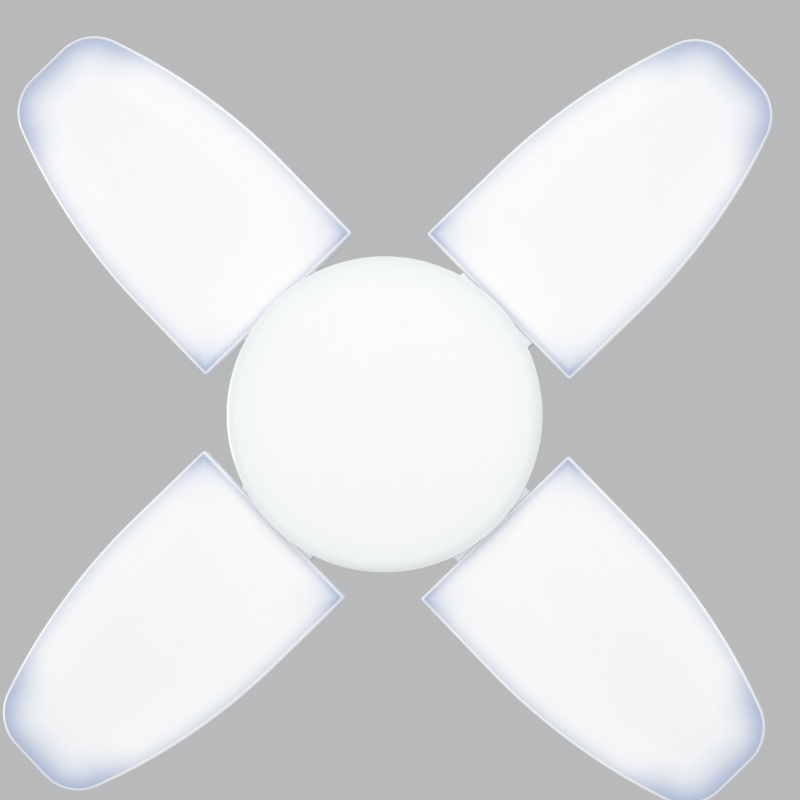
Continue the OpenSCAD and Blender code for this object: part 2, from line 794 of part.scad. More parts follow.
module blade_slots() {
    for (i = [0 : slot_rows - 1], s = [0, 1])
        let(x = blade_start + slot_start + slot_pitch * i, end = blade_half_width(x) - slot_margin)
            translate([x, 0, z_inside - 1])
                mirror([0, s, 0])
                    rotate([0, 0, 90])
                        linear_extrude(back_wall + 2) slot_shape(slot_spine, end, slot_w);
}

module blade_board(n) {
    color("#f4f5f6")
        at_blade(n)
            difference() {
                blade_prism(board_inset, z_leds, z_board);
                for (d = board_screw_at)
                    translate([blade_start + d, 0, z_leds - 1])
                        cylinder(h = board_t + 2, r = screw_hole_r, $fn = round_fn);
            }
}

// Columns of LEDs, as shares of the blade's half width
led_columns = [-0.66, -0.24, 0.24, 0.66];
module blade_leds(n) {
    color("#f3d66b")
        at_blade(n)
            for (i = [0 : led_rows - 1], share = led_columns)
                let(x = blade_start + led_start + led_pitch * i)
                    translate([x, share * blade_half_width(x), 0]) led(z_leds);
}

ledge_h = 1.2;
module blade_diffuser(n) {
    lip_out = back_wall + gap;
    lip_in = lip_out + lip_t;
    color("#fbfdff")
        at_blade(n)
            difference() {
                union() {
                    blade_loft(concat(
                        reversed(rounded_edge(z_blade_front + diffuser_edge_r, z_blade_front,
                            diffuser_edge_r)),
                        [[z_parting, 0]]));
                    blade_prism(lip_out, z_parting - overlap, z_parting + lip_h);
                }
                blade_prism(diffuser_wall, z_blade_front + diffuser_wall, z_parting - ledge_h);
                blade_prism(lip_in, z_parting - ledge_h - 1, z_parting + lip_h + 1);
            }
}

module board_screws(n) {
    color("#8e9196")
        at_blade(n)
            for (d = board_screw_at)
                translate([blade_start + d, 0, z_leds])
                    screw(screw_d, board_screw_l, screw_head_d, screw_head_h);
}

// Two shoulder screws a hinge: the ears hold them, and the knuckle turns on their shanks
module hinge_screws(n) {
    shank_l = ear_t + washer_t + 2 * fit + pin_grip;
    head_y = tab_w / 2 + 2 * fit + washer_t + ear_t;
    color("#8e9196")
        at_blade(n)
            for (s = [0, 1])
                mirror([0, s, 0])
                    translate([hinge_out, head_y, z_hinge])
                        rotate([90, 0, 0]) screw(pin_d, shank_l, hinge_head_d, hinge_head_h);
}

washer_d = knuckle_d - 1;
module friction_washers(n) {
    color("#b9bcc0")
        at_blade(n)
            for (s = [0, 1])
                mirror([0, s, 0])
                    translate([hinge_out, tab_w / 2 + 2 * fit + washer_t, z_hinge])
                        rotate([90, 0, 0])
                            difference() {
                                cylinder(h = washer_t, d = washer_d, $fn = round_fn);
                                translate([0, 0, -1])
                                    cylinder(h = washer_t + 2, d = pin_d + 2 * fit, $fn = round_fn);
                            }
}

// The blade's wire pair, from the hinge axis through the end wall to the back of its board
module blade_leads(n) {
    z_solder = z_board + wire_r + fit;
    color("#b8862f")
        at_blade(n)
            for (s = [-1, 1])
                wire([[hinge_out + wire_end, s * wire_y, z_hinge],
                    [hinge_out + 3.5, s * wire_y, z_hinge],
                    [blade_start - 1.5, s * wire_y, lead_hole_z],
                    [blade_start + back_wall + 1, s * wire_y, lead_hole_z],
                    [blade_start + board_inset + 1.2, s * wire_y, z_solder],
                    [blade_start + board_inset + 4, s * wire_y, z_solder]], wire_d);
}

cap_contact();
cap_insulator();
cap_shell();
driver_housing();
hub_frame();
hub_heat_spreader();
hub_led_board();
hub_leds();
hub_diffuser();
hub_screws();
driver_board();
driver_capacitor();
driver_transformer();
driver_choke();
driver_bridge();
driver_controller();
driver_fuse();
mains_leads();
output_leads();
for (n = [1 : blades]) {
    blade_back(n);
    blade_board(n);
    blade_leds(n);
    blade_diffuser(n);
    board_screws(n);
    hinge_screws(n);
    friction_washers(n);
    blade_leads(n);
}
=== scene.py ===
"""Looks of the deformable garage light: finishes, and fine meshes for its moulded and rolled pieces.

Metres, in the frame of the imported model: the lamp hangs along Z from its screw cap, its light face
looks down, and blade 1 points along +X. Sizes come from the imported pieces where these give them.
"""
import math

import bmesh
import bpy
from mathutils import Matrix, Vector


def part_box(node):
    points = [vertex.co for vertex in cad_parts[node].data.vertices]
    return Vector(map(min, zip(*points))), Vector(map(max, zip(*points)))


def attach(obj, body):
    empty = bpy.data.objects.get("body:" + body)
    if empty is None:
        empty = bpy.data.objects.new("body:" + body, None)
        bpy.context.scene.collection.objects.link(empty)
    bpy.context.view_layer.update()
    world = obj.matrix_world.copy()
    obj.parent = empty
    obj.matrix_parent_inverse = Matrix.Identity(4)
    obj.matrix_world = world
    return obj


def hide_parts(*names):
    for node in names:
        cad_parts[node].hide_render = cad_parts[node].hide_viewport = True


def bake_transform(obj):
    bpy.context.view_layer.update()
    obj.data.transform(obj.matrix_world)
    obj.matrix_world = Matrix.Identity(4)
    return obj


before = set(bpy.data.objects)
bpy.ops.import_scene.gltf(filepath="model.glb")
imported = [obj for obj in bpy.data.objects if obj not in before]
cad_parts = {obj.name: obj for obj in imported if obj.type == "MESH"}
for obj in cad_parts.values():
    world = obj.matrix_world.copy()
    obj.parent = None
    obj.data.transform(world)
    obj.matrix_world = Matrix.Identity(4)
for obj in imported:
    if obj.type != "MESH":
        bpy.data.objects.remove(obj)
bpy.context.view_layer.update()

MM = 0.001
BLADES = (1, 2, 3, 4)
SIDES = (-1, 1)
# How many sides round shapes have: large ones, small ones and drilled holes
FINE = 192
ROUND = 48
COARSE = 24
# Edges that turn by more than this stay sharp
SHARP_ANGLE = math.radians(32)
ALONG_X = Matrix.Rotation(math.radians(90), 4, "Y")
ALONG_Y = Matrix.Rotation(math.radians(90), 4, "X")

# ---- Sizes ----

disc_low, disc_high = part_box("hub_diffuser")
cover_low, cover_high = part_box("blade_diffuser_1")
shell_low, shell_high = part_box("cap_shell")
housing_low, housing_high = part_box("driver_housing")
driver_low, driver_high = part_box("driver_board")
board_low, board_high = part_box("blade_board_1")
washer_low, washer_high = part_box("friction_washers_1")

# Hub
HUB_EDGE_R = 3.6 * MM
HUB_BULGE = 2.4 * MM
COVER_WALL = 1.6 * MM
SPIGOT_WALL = 1.6 * MM
SPIGOT_H = 6 * MM
RING_H = 3 * MM
RING_FIT = 0.2 * MM
HUB_HOLE_R = 8 * MM
LUG_W = 9 * MM
LUG_T = 0.7 * MM
LUG_H = 1.4 * MM
LUG_DROP = 3 * MM
hub_r = disc_high.x
z_disc_face = disc_low.z
z_flange = disc_high.z
z_plate = housing_low.z
z_plate_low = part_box("hub_heat_spreader")[1].z
z_hub_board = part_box("hub_led_board")[0].z
spigot_r = hub_r - COVER_WALL - RING_FIT

# Driver housing
HOUSING_WALL = 2 * MM
BELL_WALL_H = 18 * MM
FLARE_H = 25 * MM
SHOULDER_R = 10 * MM
THROAT_R = 8 * MM
NECK_R = 18 * MM
COLLAR_R = 11.55 * MM
VENTS = 24
VENT_W = 2.2 * MM
VENT_IN_R = 23.5 * MM
VENT_OUT_R = 37 * MM
WIRE_HOLE_R = 2.5 * MM
BOSS_R = 3.3 * MM
BOSS_H = 13 * MM
BOSS_GAP = 0.6 * MM
RIB_T = 1.8 * MM
RAIL_W = 4.4 * MM
RAIL_H = 36 * MM
RAIL_IN = 13 * MM
RAIL_OUT = NECK_R - 1.4 * MM
DRIVER_W = 28.1 * MM
DRIVER_T = 1.7 * MM
DRIVER_H = 40 * MM
bell_r = housing_high.x
bell_in_r = bell_r - HOUSING_WALL
boss_out = bell_in_r - BOSS_R - BOSS_GAP
z_flare = z_plate + BELL_WALL_H
z_shell = shell_low.z
z_shell_top = shell_high.z
z_driver_top = z_shell - HOUSING_WALL
z_driver_low = z_driver_top - DRIVER_H
z_collar = housing_high.z

# Screw cap
THREAD_PITCH = 3.63 * MM
ROOT_RADIUS = 12.1 * MM
CREST_RADIUS = 13.1 * MM
SHEET = 0.5 * MM
THREAD_FADE = 2.4 * MM
SHELL_DENTS = 6
DENT_RISE = 1.3 * MM
DENT_R = 0.55 * MM
DENT_DEPTH = 0.3 * MM
SHELL_ROLL = 0.35 * MM
PLUG_H = 3 * MM
CONTACT_R = 4.8 * MM
CONTACT_H = 1.2 * MM
CONTACT_DISH = 0.24 * MM
SOLDER_R = 1.9 * MM

# Blades
STRAIGHT_L = 37 * MM
SIDE_R = 230 * MM
TIP_R = 17.5 * MM
ROOT_R = 1 * MM
LEAST_R = 0.3 * MM
LIP_H = 1.4 * MM
LIP_OUT = 2 * MM
LIP_IN = 3 * MM
COVER_EDGE_R = 1.8 * MM
SEAM = 0.25 * MM
BACK_WALL = 1.8 * MM
BACK_EDGE_R = 2.6 * MM
SLOT_ROWS = 11
SLOT_PITCH = 8.6 * MM
SLOT_W = 2.6 * MM
SLOT_START = 18 * MM
SLOT_MARGIN = 10 * MM
SLOT_SPINE = 6 * MM
SLOT_EDGE = 0.4 * MM
BOARD_SCREWS = (12 * MM, 60 * MM, 106 * MM)
DRILL_DEPTH = 2.9 * MM
LEAD_HOLE_R = 2 * MM
LEAD_HOLE_SILL = 0.7 * MM
blade_start = cover_low.x
blade_end = cover_high.x
blade_half = cover_high.y
z_blade_face = cover_low.z
z_blade_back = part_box("blade_back_1")[1].z
z_inside = z_blade_back - BACK_WALL
z_parting = cover_high.z - LIP_H
z_board = board_high.z
z_leds = board_low.z
z_lead_hole = z_parting + LEAD_HOLE_SILL + LEAD_HOLE_R

# Hinges
KNUCKLE_R = 4.5 * MM
TAB_HALF = 18.5 * MM
WINDOW_HALF = 6 * MM
EAR_T = 4 * MM
PIN_R = 2 * MM
PIN_L = 9 * MM
PIN_REACH = 26 * MM
HOLE_FIT = 0.05 * MM
HINGE_HEAD_H = 2 * MM
HINGE_HEAD_D = 7 * MM
EDGE = 0.4 * MM
bore_r = PIN_R + HOLE_FIT
hinge_x = (washer_low.x + washer_high.x) / 2
z_hinge = (washer_low.z + washer_high.z) / 2
head_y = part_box("hinge_screws_1")[1].y - HINGE_HEAD_H
washer_t = washer_high.y - TAB_HALF - 2 * HOLE_FIT

# LEDs
LED_L = 3.5 * MM
LED_W = 2.8 * MM
LED_H = 0.7 * MM
LED_ROWS = 8
LED_PITCH = 13.2 * MM
LED_START = 14 * MM
LED_COLUMNS = (-0.66, -0.24, 0.24, 0.66)
HUB_LEDS = ((12, 24 * MM), (20, 46 * MM))

# Screws and wires
SCREW_D = 3 * MM
SCREW_HEAD_D = 5.4 * MM
SCREW_HEAD_H = 1.5 * MM
HUB_SCREW_L = 14 * MM
BOARD_SCREW_L = 4.2 * MM
WIRE_R = 0.65 * MM
WIRE_Y = 1 * MM
drill_r = SCREW_D / 2 + HOLE_FIT
# How far a cutter reaches past what it cuts
PAST = 1 * MM

# ---- Meshes ----


def mix(a, b, share):
    return a + (b - a) * share


def smooth_step(low, high, value):
    share = min(max((value - low) / (high - low), 0), 1)
    return share * share * (3 - 2 * share)


def angles(start, end, steps):
    """Angles from start to end, given in degrees, both included, in radians."""
    return [math.radians(mix(start, end, i / steps)) for i in range(steps + 1)]


def full_turn(steps):
    return [math.tau * i / steps for i in range(steps)]


def arc(centre, radius, start, end, steps):
    """Points (x, y) on an arc, angles in degrees, both ends included."""
    x, y = centre
    return [(x + radius * math.cos(a), y + radius * math.sin(a)) for a in angles(start, end, steps)]


def between(a, b, steps):
    """Points (x, y) between a and b, both left out."""
    return [(mix(a[0], b[0], i / steps), mix(a[1], b[1], i / steps)) for i in range(1, steps)]


def new_object(name, data):
    made = bpy.data.objects.new(name, data)
    bpy.context.scene.collection.objects.link(made)
    return made


def set_smooth(mesh):
    mesh.shade_smooth()
    mesh.set_sharp_from_angle(angle=SHARP_ANGLE)


def solid(rings, closed=False, glow=None):
    """A mesh through rings of equally many points. Closed joins the last ring to the first one."""
    shape = bmesh.new()
    layer = shape.verts.layers.float.new("glow") if glow else None
    made = []
    for r, ring in enumerate(rings):
        made.append([shape.verts.new(p) for p in ring])
        if glow:
            for vert, value in zip(made[-1], glow[r]):
                vert[layer] = value
    count = len(rings[0])
    for low, high in zip(made, made[1:] + made[:1] if closed else made[1:]):
        for i in range(count):
            j = (i + 1) % count
            shape.faces.new((low[i], low[j], high[j], high[i]))
    if not closed:
        shape.faces.new(made[0])
        shape.faces.new(made[-1])
    bmesh.ops.recalc_face_normals(shape, faces=shape.faces)
    mesh = bpy.data.meshes.new("solid")
    shape.to_mesh(mesh)
    shape.free()
    set_smooth(mesh)
    return mesh


def circle(r, z, sides):
    """A ring of points round Z."""
    return [(r * math.cos(a), r * math.sin(a), z) for a in full_turn(sides)]


def lathe(profile, sides=FINE, closed=False, glow=None):
    """A profile of points (r, z) turned round Z."""
    return solid([circle(r, z, sides) for r, z in profile], closed, glow)


def rod(r, low, high, sides=ROUND, edge=0.0):
    """A cylinder round Z with its ends chamfered by edge."""
    path = [(r - edge, low), (r, low + edge), (r, high - edge), (r - edge, high)]
    return lathe(path if edge else [(r, low), (r, high)], sides)


def block(low, high, edge=0.0):
    """A box between two corners, with its upright edges and its ends chamfered by edge."""
    rings = []
    cut = max(edge, 0.01 * MM)
    levels = [(low[2], edge), (low[2] + edge, 0), (high[2] - edge, 0), (high[2], edge)]
    for z, inset in levels if edge else ((low[2], 0), (high[2], 0)):
        x0, y0, x1, y1 = low[0] + inset, low[1] + inset, high[0] - inset, high[1] - inset
        rings.append([(x0 + cut, y0, z), (x1 - cut, y0, z), (x1, y0 + cut, z), (x1, y1 - cut, z),
                      (x1 - cut, y1, z), (x0 + cut, y1, z), (x0, y1 - cut, z), (x0, y0 + cut, z)])
    return solid(rings)


def inset_loop(points, depth):
    """A closed outline (x, y), anticlockwise, with each side moved inwards by depth."""
    made = []
    for i, here in enumerate(points):
        before, after = points[i - 1], points[(i + 1) % len(points)]
        a = (Vector(here) - Vector(before)).normalized()
        b = (Vector(after) - Vector(here)).normalized()
        inwards = Vector((-a.y - b.y, a.x + b.x))
        scale = 2 * depth / max(inwards.length_squared, 0.5)
        made.append((here[0] + inwards.x * scale, here[1] + inwards.y * scale))
    return made


def extruded(outline, low, high, edge=EDGE):
    """An outline (x, z) drawn out along Y, with its two ends chamfered by edge."""
    small = inset_loop(outline, edge)
    levels = ((low, small), (low + edge, outline), (high - edge, outline), (high, small))
    return solid([[(x, y, z) for x, z in loop] for y, loop in levels])


def moved(mesh, matrix):
    made = mesh.copy()
    made.transform(matrix)
    if matrix.determinant() < 0:
        made.flip_normals()
    return made


def at(x, y, z):
    return Matrix.Translation((x, y, z))


def about_z(degrees):
    return Matrix.Rotation(math.radians(degrees), 4, "Z")


def for_blade(mesh, n):
    """A mesh made for blade 1, turned to blade n."""
    return moved(mesh, about_z(90 * (n - 1)))


def at_bosses(*meshes, z=0):
    """Copies of some meshes at each of the bosses, which stand between the blades."""
    return [moved(mesh, about_z(90 * n - 45) @ at(boss_out, 0, z)) for n in BLADES for mesh in meshes]


def at_board_screws(mesh, z=0, turn=0):
    """Copies of a mesh at each of blade 1's board screws, each turned further than the last."""
    return [moved(mesh, at(blade_start + d, 0, z) @ about_z(turn * i)) for i, d in enumerate(BOARD_SCREWS)]


def both_sides(mesh):
    """A mesh, and its mirror image on the other side of blade 1's middle."""
    return [mesh, moved(mesh, Matrix.Scale(-1, 4, (0, 1, 0)))]


def merged(meshes):
    """One mesh from several that don't overlap."""
    shape = bmesh.new()
    for mesh in meshes:
        shape.from_mesh(mesh)
    made = bpy.data.meshes.new("merged")
    shape.to_mesh(made)
    shape.free()
    set_smooth(made)
    return made


def carved(mesh, cuts, joins=()):
    """A mesh joined with some shapes, and then with others cut out of it."""
    base = new_object("base", mesh)
    tools = []
    for operation, shapes in (("UNION", joins), ("DIFFERENCE", cuts)):
        for shape in shapes:
            tool = new_object("tool", shape)
            step = base.modifiers.new(operation, "BOOLEAN")
            step.operation, step.object, step.solver = operation, tool, "EXACT"
            tools.append(tool)
    bpy.context.view_layer.update()
    graph = bpy.context.evaluated_depsgraph_get()
    made = bpy.data.meshes.new_from_object(base.evaluated_get(graph))
    for obj in (base, *tools):
        bpy.data.objects.remove(obj)
    set_smooth(made)
    return made


def slot_outline(a, b, width):
    """Points (x, y) round a slot with round ends whose whole length runs from a to b."""
    ahead = (b - a).normalized()
    r = width / 2
    turn = math.degrees(math.atan2(ahead.y, ahead.x))
    first = arc(b - ahead * r, r, turn - 90, turn + 90, 10)
    second = arc(a + ahead * r, r, turn + 90, turn + 270, 10)
    return first + between(first[-1], second[0], 6) + second + between(second[-1], first[0], 6)


def slot_cutter(a, b, width, surface, low, high):
    """A cutter for a slot from a to b with a chamfered mouth where it meets the surface's height."""
    a, b = Vector(a), Vector(b)
    ahead = (b - a).normalized() * SLOT_EDGE
    narrow = slot_outline(a, b, width)
    wide = slot_outline(a - ahead, b + ahead, width + 2 * SLOT_EDGE)
    return solid([[(x, y, low) for x, y in narrow],
                  [(x, y, surface(x, y) - SLOT_EDGE) for x, y in narrow],
                  [(x, y, surface(x, y) + 0.02 * MM) for x, y in wide],
                  [(x, y, high) for x, y in wide]])


def smooth_route(points):
    """A smooth curve through the points, along which a wire runs."""
    steps = 8
    p = [Vector(point) for point in points]
    p = [2 * p[0] - p[1]] + p + [2 * p[-1] - p[-2]]
    route = []
    for i in range(1, len(p) - 2):
        for k in range(steps):
            t = k / steps
            route.append(0.5 * (2 * p[i] + (p[i + 1] - p[i - 1]) * t
                         + (2 * p[i - 1] - 5 * p[i] + 4 * p[i + 1] - p[i + 2]) * t**2
                         + (3 * p[i] - p[i - 1] - 3 * p[i + 1] + p[i + 2]) * t**3))
    return route + [p[-2]]


def tube(points, radius, sides=14):
    """A round wire along a smooth route."""
    route = smooth_route(points)
    rings = []
    side = (route[1] - route[0]).orthogonal()
    for i, point in enumerate(route):
        ahead = (route[min(i + 1, len(route) - 1)] - route[max(i - 1, 0)]).normalized()
        side = (side - ahead * side.dot(ahead)).normalized()
        up = ahead.cross(side)
        rings.append([point + radius * (math.cos(a) * side + math.sin(a) * up) for a in full_turn(sides)])
    return solid(rings)


def tinted(mesh, index):
    """The same mesh, with all its faces in the material with this index."""
    for face in mesh.polygons:
        face.material_index = index
    return mesh


# ---- Screws ----


def cross(arm, width, z):
    """The outline of a cross recess at a height."""
    w = width / 2
    corner = [(arm, -w), (arm, w), (w, w)]
    return [(x * math.cos(a) - y * math.sin(a), x * math.sin(a) + y * math.cos(a), z)
            for a in full_turn(4) for x, y in corner]


def screw(shank_d, shank_l, head_d, head_h):
    """A pan-head screw that bears on z = 0, with its shank above and its head below."""
    shank_r, head_r = shank_d / 2, head_d / 2
    edge = 0.1 * MM
    brow = 0.35 * head_h
    path = [(0.2 * shank_r, shank_l), (0.75 * shank_r, shank_l), (shank_r, shank_l - 0.25 * shank_r),
            (shank_r, 0), (head_r - edge, 0), (head_r, -edge)]
    path += [(head_r * math.cos(a), -brow - (head_h - brow) * math.sin(a)) for a in angles(0, 80, 8)]
    recess = solid([cross(0.30 * head_d, 0.16 * head_d, -head_h - edge),
                    cross(0.27 * head_d, 0.13 * head_d, -head_h * 0.75),
                    cross(0.12 * head_d, 0.09 * head_d, -head_h * 0.3)])
    return carved(lathe(path, ROUND), cuts=[recess])


def hub_screws():
    return merged(at_bosses(screw(SCREW_D, HUB_SCREW_L, SCREW_HEAD_D, SCREW_HEAD_H), z=z_hub_board))


def board_screws():
    return merged(at_board_screws(screw(SCREW_D, BOARD_SCREW_L, SCREW_HEAD_D, SCREW_HEAD_H), z_leds, turn=37))


def hinge_screws():
    """The two shoulder screws of a hinge."""
    one = screw(2 * PIN_R, head_y - TAB_HALF + PIN_L, HINGE_HEAD_D, HINGE_HEAD_H)
    return merged(both_sides(moved(one, at(hinge_x, head_y, z_hinge) @ ALONG_Y @ about_z(20))))


def friction_washers():
    r, edge = (washer_high.x - washer_low.x) / 2, 0.1 * MM
    path = [(bore_r, 0), (r - edge, 0), (r, edge)]
    path += [(r, washer_t - edge), (r - edge, washer_t), (bore_r, washer_t)]
    one = lathe(path, ROUND, closed=True)
    return merged(both_sides(moved(one, at(hinge_x, washer_high.y, z_hinge) @ ALONG_Y)))


def hinge_bore():
    """A cutter along a hinge's axis, for its two screws."""
    return moved(rod(bore_r, -PIN_REACH, PIN_REACH), at(hinge_x, 0, z_hinge) @ ALONG_Y)


# ---- Screw cap ----


def thread_radius(angle, z):
    """Outer radius of the threaded shell: a rolled wave that fades out at both ends, over a dented skirt."""
    share = min(1, (z - z_shell) / THREAD_FADE - 0.6, (z_shell_top - z) / THREAD_FADE - 0.1)
    wave = (1 + math.cos(math.tau * z / THREAD_PITCH - angle)) / 2
    r = ROOT_RADIUS + (CREST_RADIUS - ROOT_RADIUS) * max(0, share) * wave
    for k in range(SHELL_DENTS):
        off = (angle - math.tau * (k + 0.5) / SHELL_DENTS + math.pi) % math.tau - math.pi
        away = math.hypot(off * ROOT_RADIUS, z - z_shell - DENT_RISE) / DENT_R
        r -= DENT_DEPTH * math.exp(-(away**2))
    return r - SHELL_ROLL * math.exp(-(((z_shell_top - z) / SHELL_ROLL) ** 2))


def cap_shell():
    """The threaded shell, rolled from sheet."""
    sides, rows = 240, 132
    rings = []
    for k in range(rows + 1):
        z = z_shell + (z_shell_top - z_shell) * k / rows
        reach = [(a, thread_radius(a, z)) for a in full_turn(sides)]
        rings.append([(r * math.cos(a), r * math.sin(a), z) for a, r in reach])
    rings += [circle(ROOT_RADIUS - SHEET, z, sides) for z in (z_shell_top, z_shell)]
    return solid(rings, closed=True)


def cap_insulator():
    """Black glass between the shell and the end contact, with a plug inside the shell."""
    edge, round_r, sag, steps = 0.3 * MM, 0.9 * MM, 0.25 * MM, 14
    z_low, z_seat = z_shell_top - PLUG_H, -CONTACT_H
    bore, rim_r, foot_r = WIRE_R + 0.2 * MM, ROOT_RADIUS - 0.1 * MM, CONTACT_R + 0.7 * MM
    shoulder = arc((rim_r - round_r, z_shell_top + 0.02 * MM), round_r, 0, 60, 8)
    slope = between(shoulder[-1], (foot_r, z_seat - 0.1 * MM), steps)
    slope = [(r, z - sag * math.sin(math.pi * (i + 1) / steps)) for i, (r, z) in enumerate(slope)]
    path = [(bore, z_low), (COLLAR_R - edge, z_low), (COLLAR_R, z_low + edge), (COLLAR_R, z_shell_top)]
    path += shoulder + slope + [(foot_r - 0.2 * MM, z_seat), (bore, z_seat)]
    return lathe(path, closed=True)


def cap_contact():
    """The end contact: a stamped disc with a solder bead in the middle."""
    edge, round_r = 0.1 * MM, 0.35 * MM
    path = [(edge, -CONTACT_H), (CONTACT_R - edge, -CONTACT_H), (CONTACT_R, -CONTACT_H + edge)]
    path += arc((CONTACT_R - round_r, -0.66 * MM - round_r), round_r, 0, 60, 5)
    path += [(3.4 * MM, -0.36 * MM), (3.1 * MM, -0.26 * MM)]
    path += [(2.6 * MM, -CONTACT_DISH), (2.2 * MM, -CONTACT_DISH)]
    path += [(SOLDER_R * math.cos(a), CONTACT_DISH * (math.sin(a) - 1)) for a in angles(0, 88, 8)]
    return lathe(path, FINE // 2)


# ---- Driver housing ----

flare_a = math.degrees(math.atan2(bell_r - NECK_R, FLARE_H))
half_turn = math.tan(math.radians(flare_a / 2))
shoulder_centre = (bell_r - SHOULDER_R, z_flare - SHOULDER_R * half_turn)
throat_centre = (NECK_R + THROAT_R, z_flare + FLARE_H + THROAT_R * half_turn)


def flare_side(inset):
    """The flare's profile, inset inside its outer face: a round shoulder, a cone and a round throat."""
    shoulder = arc(shoulder_centre, SHOULDER_R - inset, 0, flare_a, 14)
    throat = arc(throat_centre, -THROAT_R - inset, flare_a, 0, 14)
    return shoulder + between(shoulder[-1], throat[0], 8) + throat


def flare_height(x, y):
    """Height of the flare's outer face over a point."""
    r = math.hypot(x, y)
    side = flare_side(0)
    for (r_out, z_out), (r_in, z_in) in zip(side, side[1:]):
        if r_in <= r <= r_out:
            return mix(z_out, z_in, (r_out - r) / (r_out - r_in))
    return side[0][1] if r > side[0][0] else side[-1][1]


def housing_parts():
    """Bosses for the hub screws, each with a rib, and the rails that hold the driver board."""
    boss = rod(BOSS_R, z_plate, z_plate + BOSS_H)
    rib = block((0, -RIB_T / 2, z_plate), (BOSS_R + BOSS_GAP + HOUSING_WALL / 2, RIB_T / 2, z_plate + BOSS_H))
    parts = at_bosses(boss, rib)
    z_low, z_high = z_driver_top - RAIL_H, z_driver_top + 0.3 * MM
    for s in SIDES:
        x_low, x_high = sorted((s * RAIL_IN, s * RAIL_OUT))
        parts.append(block((x_low, -RAIL_W / 2, z_low), (x_high, RAIL_W / 2, z_high)))
    return parts


def housing():
    """The housing: a bell on the hub, a flare with air slots, a neck and the collar inside the cap."""
    edge, neck_edge = 0.3 * MM, 0.6 * MM
    collar_in = COLLAR_R - HOUSING_WALL
    path = [(bell_in_r, z_plate), (bell_r - edge, z_plate), (bell_r, z_plate + edge)]
    path += between(path[-1], (bell_r, shoulder_centre[1]), 6) + flare_side(0)
    path += between(path[-1], (NECK_R, z_shell - neck_edge), 6)
    path += arc((NECK_R - neck_edge, z_shell - neck_edge), neck_edge, 0, 90, 6)
    path += [(COLLAR_R, z_shell), (COLLAR_R, z_collar - edge), (COLLAR_R - edge, z_collar),
             (collar_in, z_collar), (collar_in, z_driver_top), (NECK_R - HOUSING_WALL, z_driver_top)]
    path += flare_side(HOUSING_WALL)[::-1]
    vents = []
    for n in range(VENTS):
        a = math.tau * (n + 0.5) / VENTS
        ray = Vector((math.cos(a), math.sin(a)))
        vents.append(slot_cutter(ray * VENT_IN_R, ray * VENT_OUT_R, VENT_W, flare_height,
                                 z_flare + 2 * MM, z_flare + FLARE_H))
    hole = moved(rod(WIRE_HOLE_R, -4 * MM, 4 * MM), at(bell_r - 1 * MM, 0, z_hinge) @ ALONG_X)
    drill = rod(drill_r, z_plate - PAST, z_plate + BOSS_H - 1 * MM, COARSE)
    groove = block((-DRIVER_W / 2, -DRIVER_T / 2, z_driver_low), (DRIVER_W / 2, DRIVER_T / 2, z_driver_top))
    holes = merged([for_blade(hole, n) for n in BLADES])
    shell = carved(lathe(path, closed=True), cuts=[merged(vents), holes])
    return carved(shell, joins=housing_parts(), cuts=[merged(at_bosses(drill)), groove])


# ---- Hub frame ----


def hub_ear():
    """A hinge ear on the plate's edge, on one side of blade 1's tab. Its foot is rounded into the plate."""
    foot = 0.8 * MM
    near, far = hinge_x - KNUCKLE_R - foot, hinge_x + KNUCKLE_R + foot
    z_foot = z_plate + foot - 0.06 * MM
    outline = [(near, z_plate - 1 * MM), (far, z_plate - 1 * MM)] + arc((far, z_foot), -foot, 90, 0, 5)
    outline += arc((hinge_x, z_hinge), KNUCKLE_R, 0, 180, 28) + arc((near, z_foot), foot, 0, -90, 5)
    return extruded(outline, washer_high.y, washer_high.y + EAR_T)


def hub_frame():
    """The plate that carries everything: flange, spigot, the bell's ring, snap lugs and the hinge ears."""
    edge = 0.35 * MM
    ring_r = bell_in_r - RING_FIT
    ring_in, spigot_in = ring_r - SPIGOT_WALL, spigot_r - SPIGOT_WALL
    z_ring, z_spigot = z_plate + RING_H, z_flange - SPIGOT_H
    path = [(HUB_HOLE_R, z_plate), (ring_in, z_plate), (ring_in, z_ring), (ring_r - edge, z_ring),
            (ring_r, z_ring - edge), (ring_r, z_plate), (hub_r - edge, z_plate), (hub_r, z_plate - edge),
            (hub_r, z_flange + edge), (hub_r - edge, z_flange), (spigot_r, z_flange),
            (spigot_r, z_spigot + edge), (spigot_r - edge, z_spigot), (spigot_in, z_spigot),
            (spigot_in, z_plate_low), (HUB_HOLE_R, z_plate_low)]
    ears = [for_blade(ear, n) for n in BLADES for ear in both_sides(hub_ear())]
    lug = block((spigot_r - SPIGOT_WALL / 2, -LUG_W / 2, z_flange - LUG_DROP),
                (spigot_r + LUG_T, LUG_W / 2, z_flange - LUG_DROP + LUG_H), 0.2 * MM)
    lugs = [moved(lug, about_z(90 * n - 45)) for n in BLADES]
    bores = [merged([for_blade(hinge_bore(), n) for n in pair]) for pair in ((1, 3), (2, 4))]
    notch = rod(bell_in_r - boss_out, z_plate, z_ring + PAST)
    hole = rod(drill_r, z_plate_low - PAST, z_plate + 0.5 * MM, COARSE)
    return carved(lathe(path, closed=True), joins=[merged(ears), merged(lugs)],
                  cuts=bores + at_bosses(notch, hole))


# ---- Blades ----

arc_x = blade_start + STRAIGHT_L
side_drop = SIDE_R - blade_half
corner_x = blade_end - TIP_R
corner_y = math.sqrt((SIDE_R - TIP_R) ** 2 - (corner_x - arc_x) ** 2) - side_drop
corner_a = math.degrees(math.atan2(corner_y + side_drop, corner_x - arc_x))


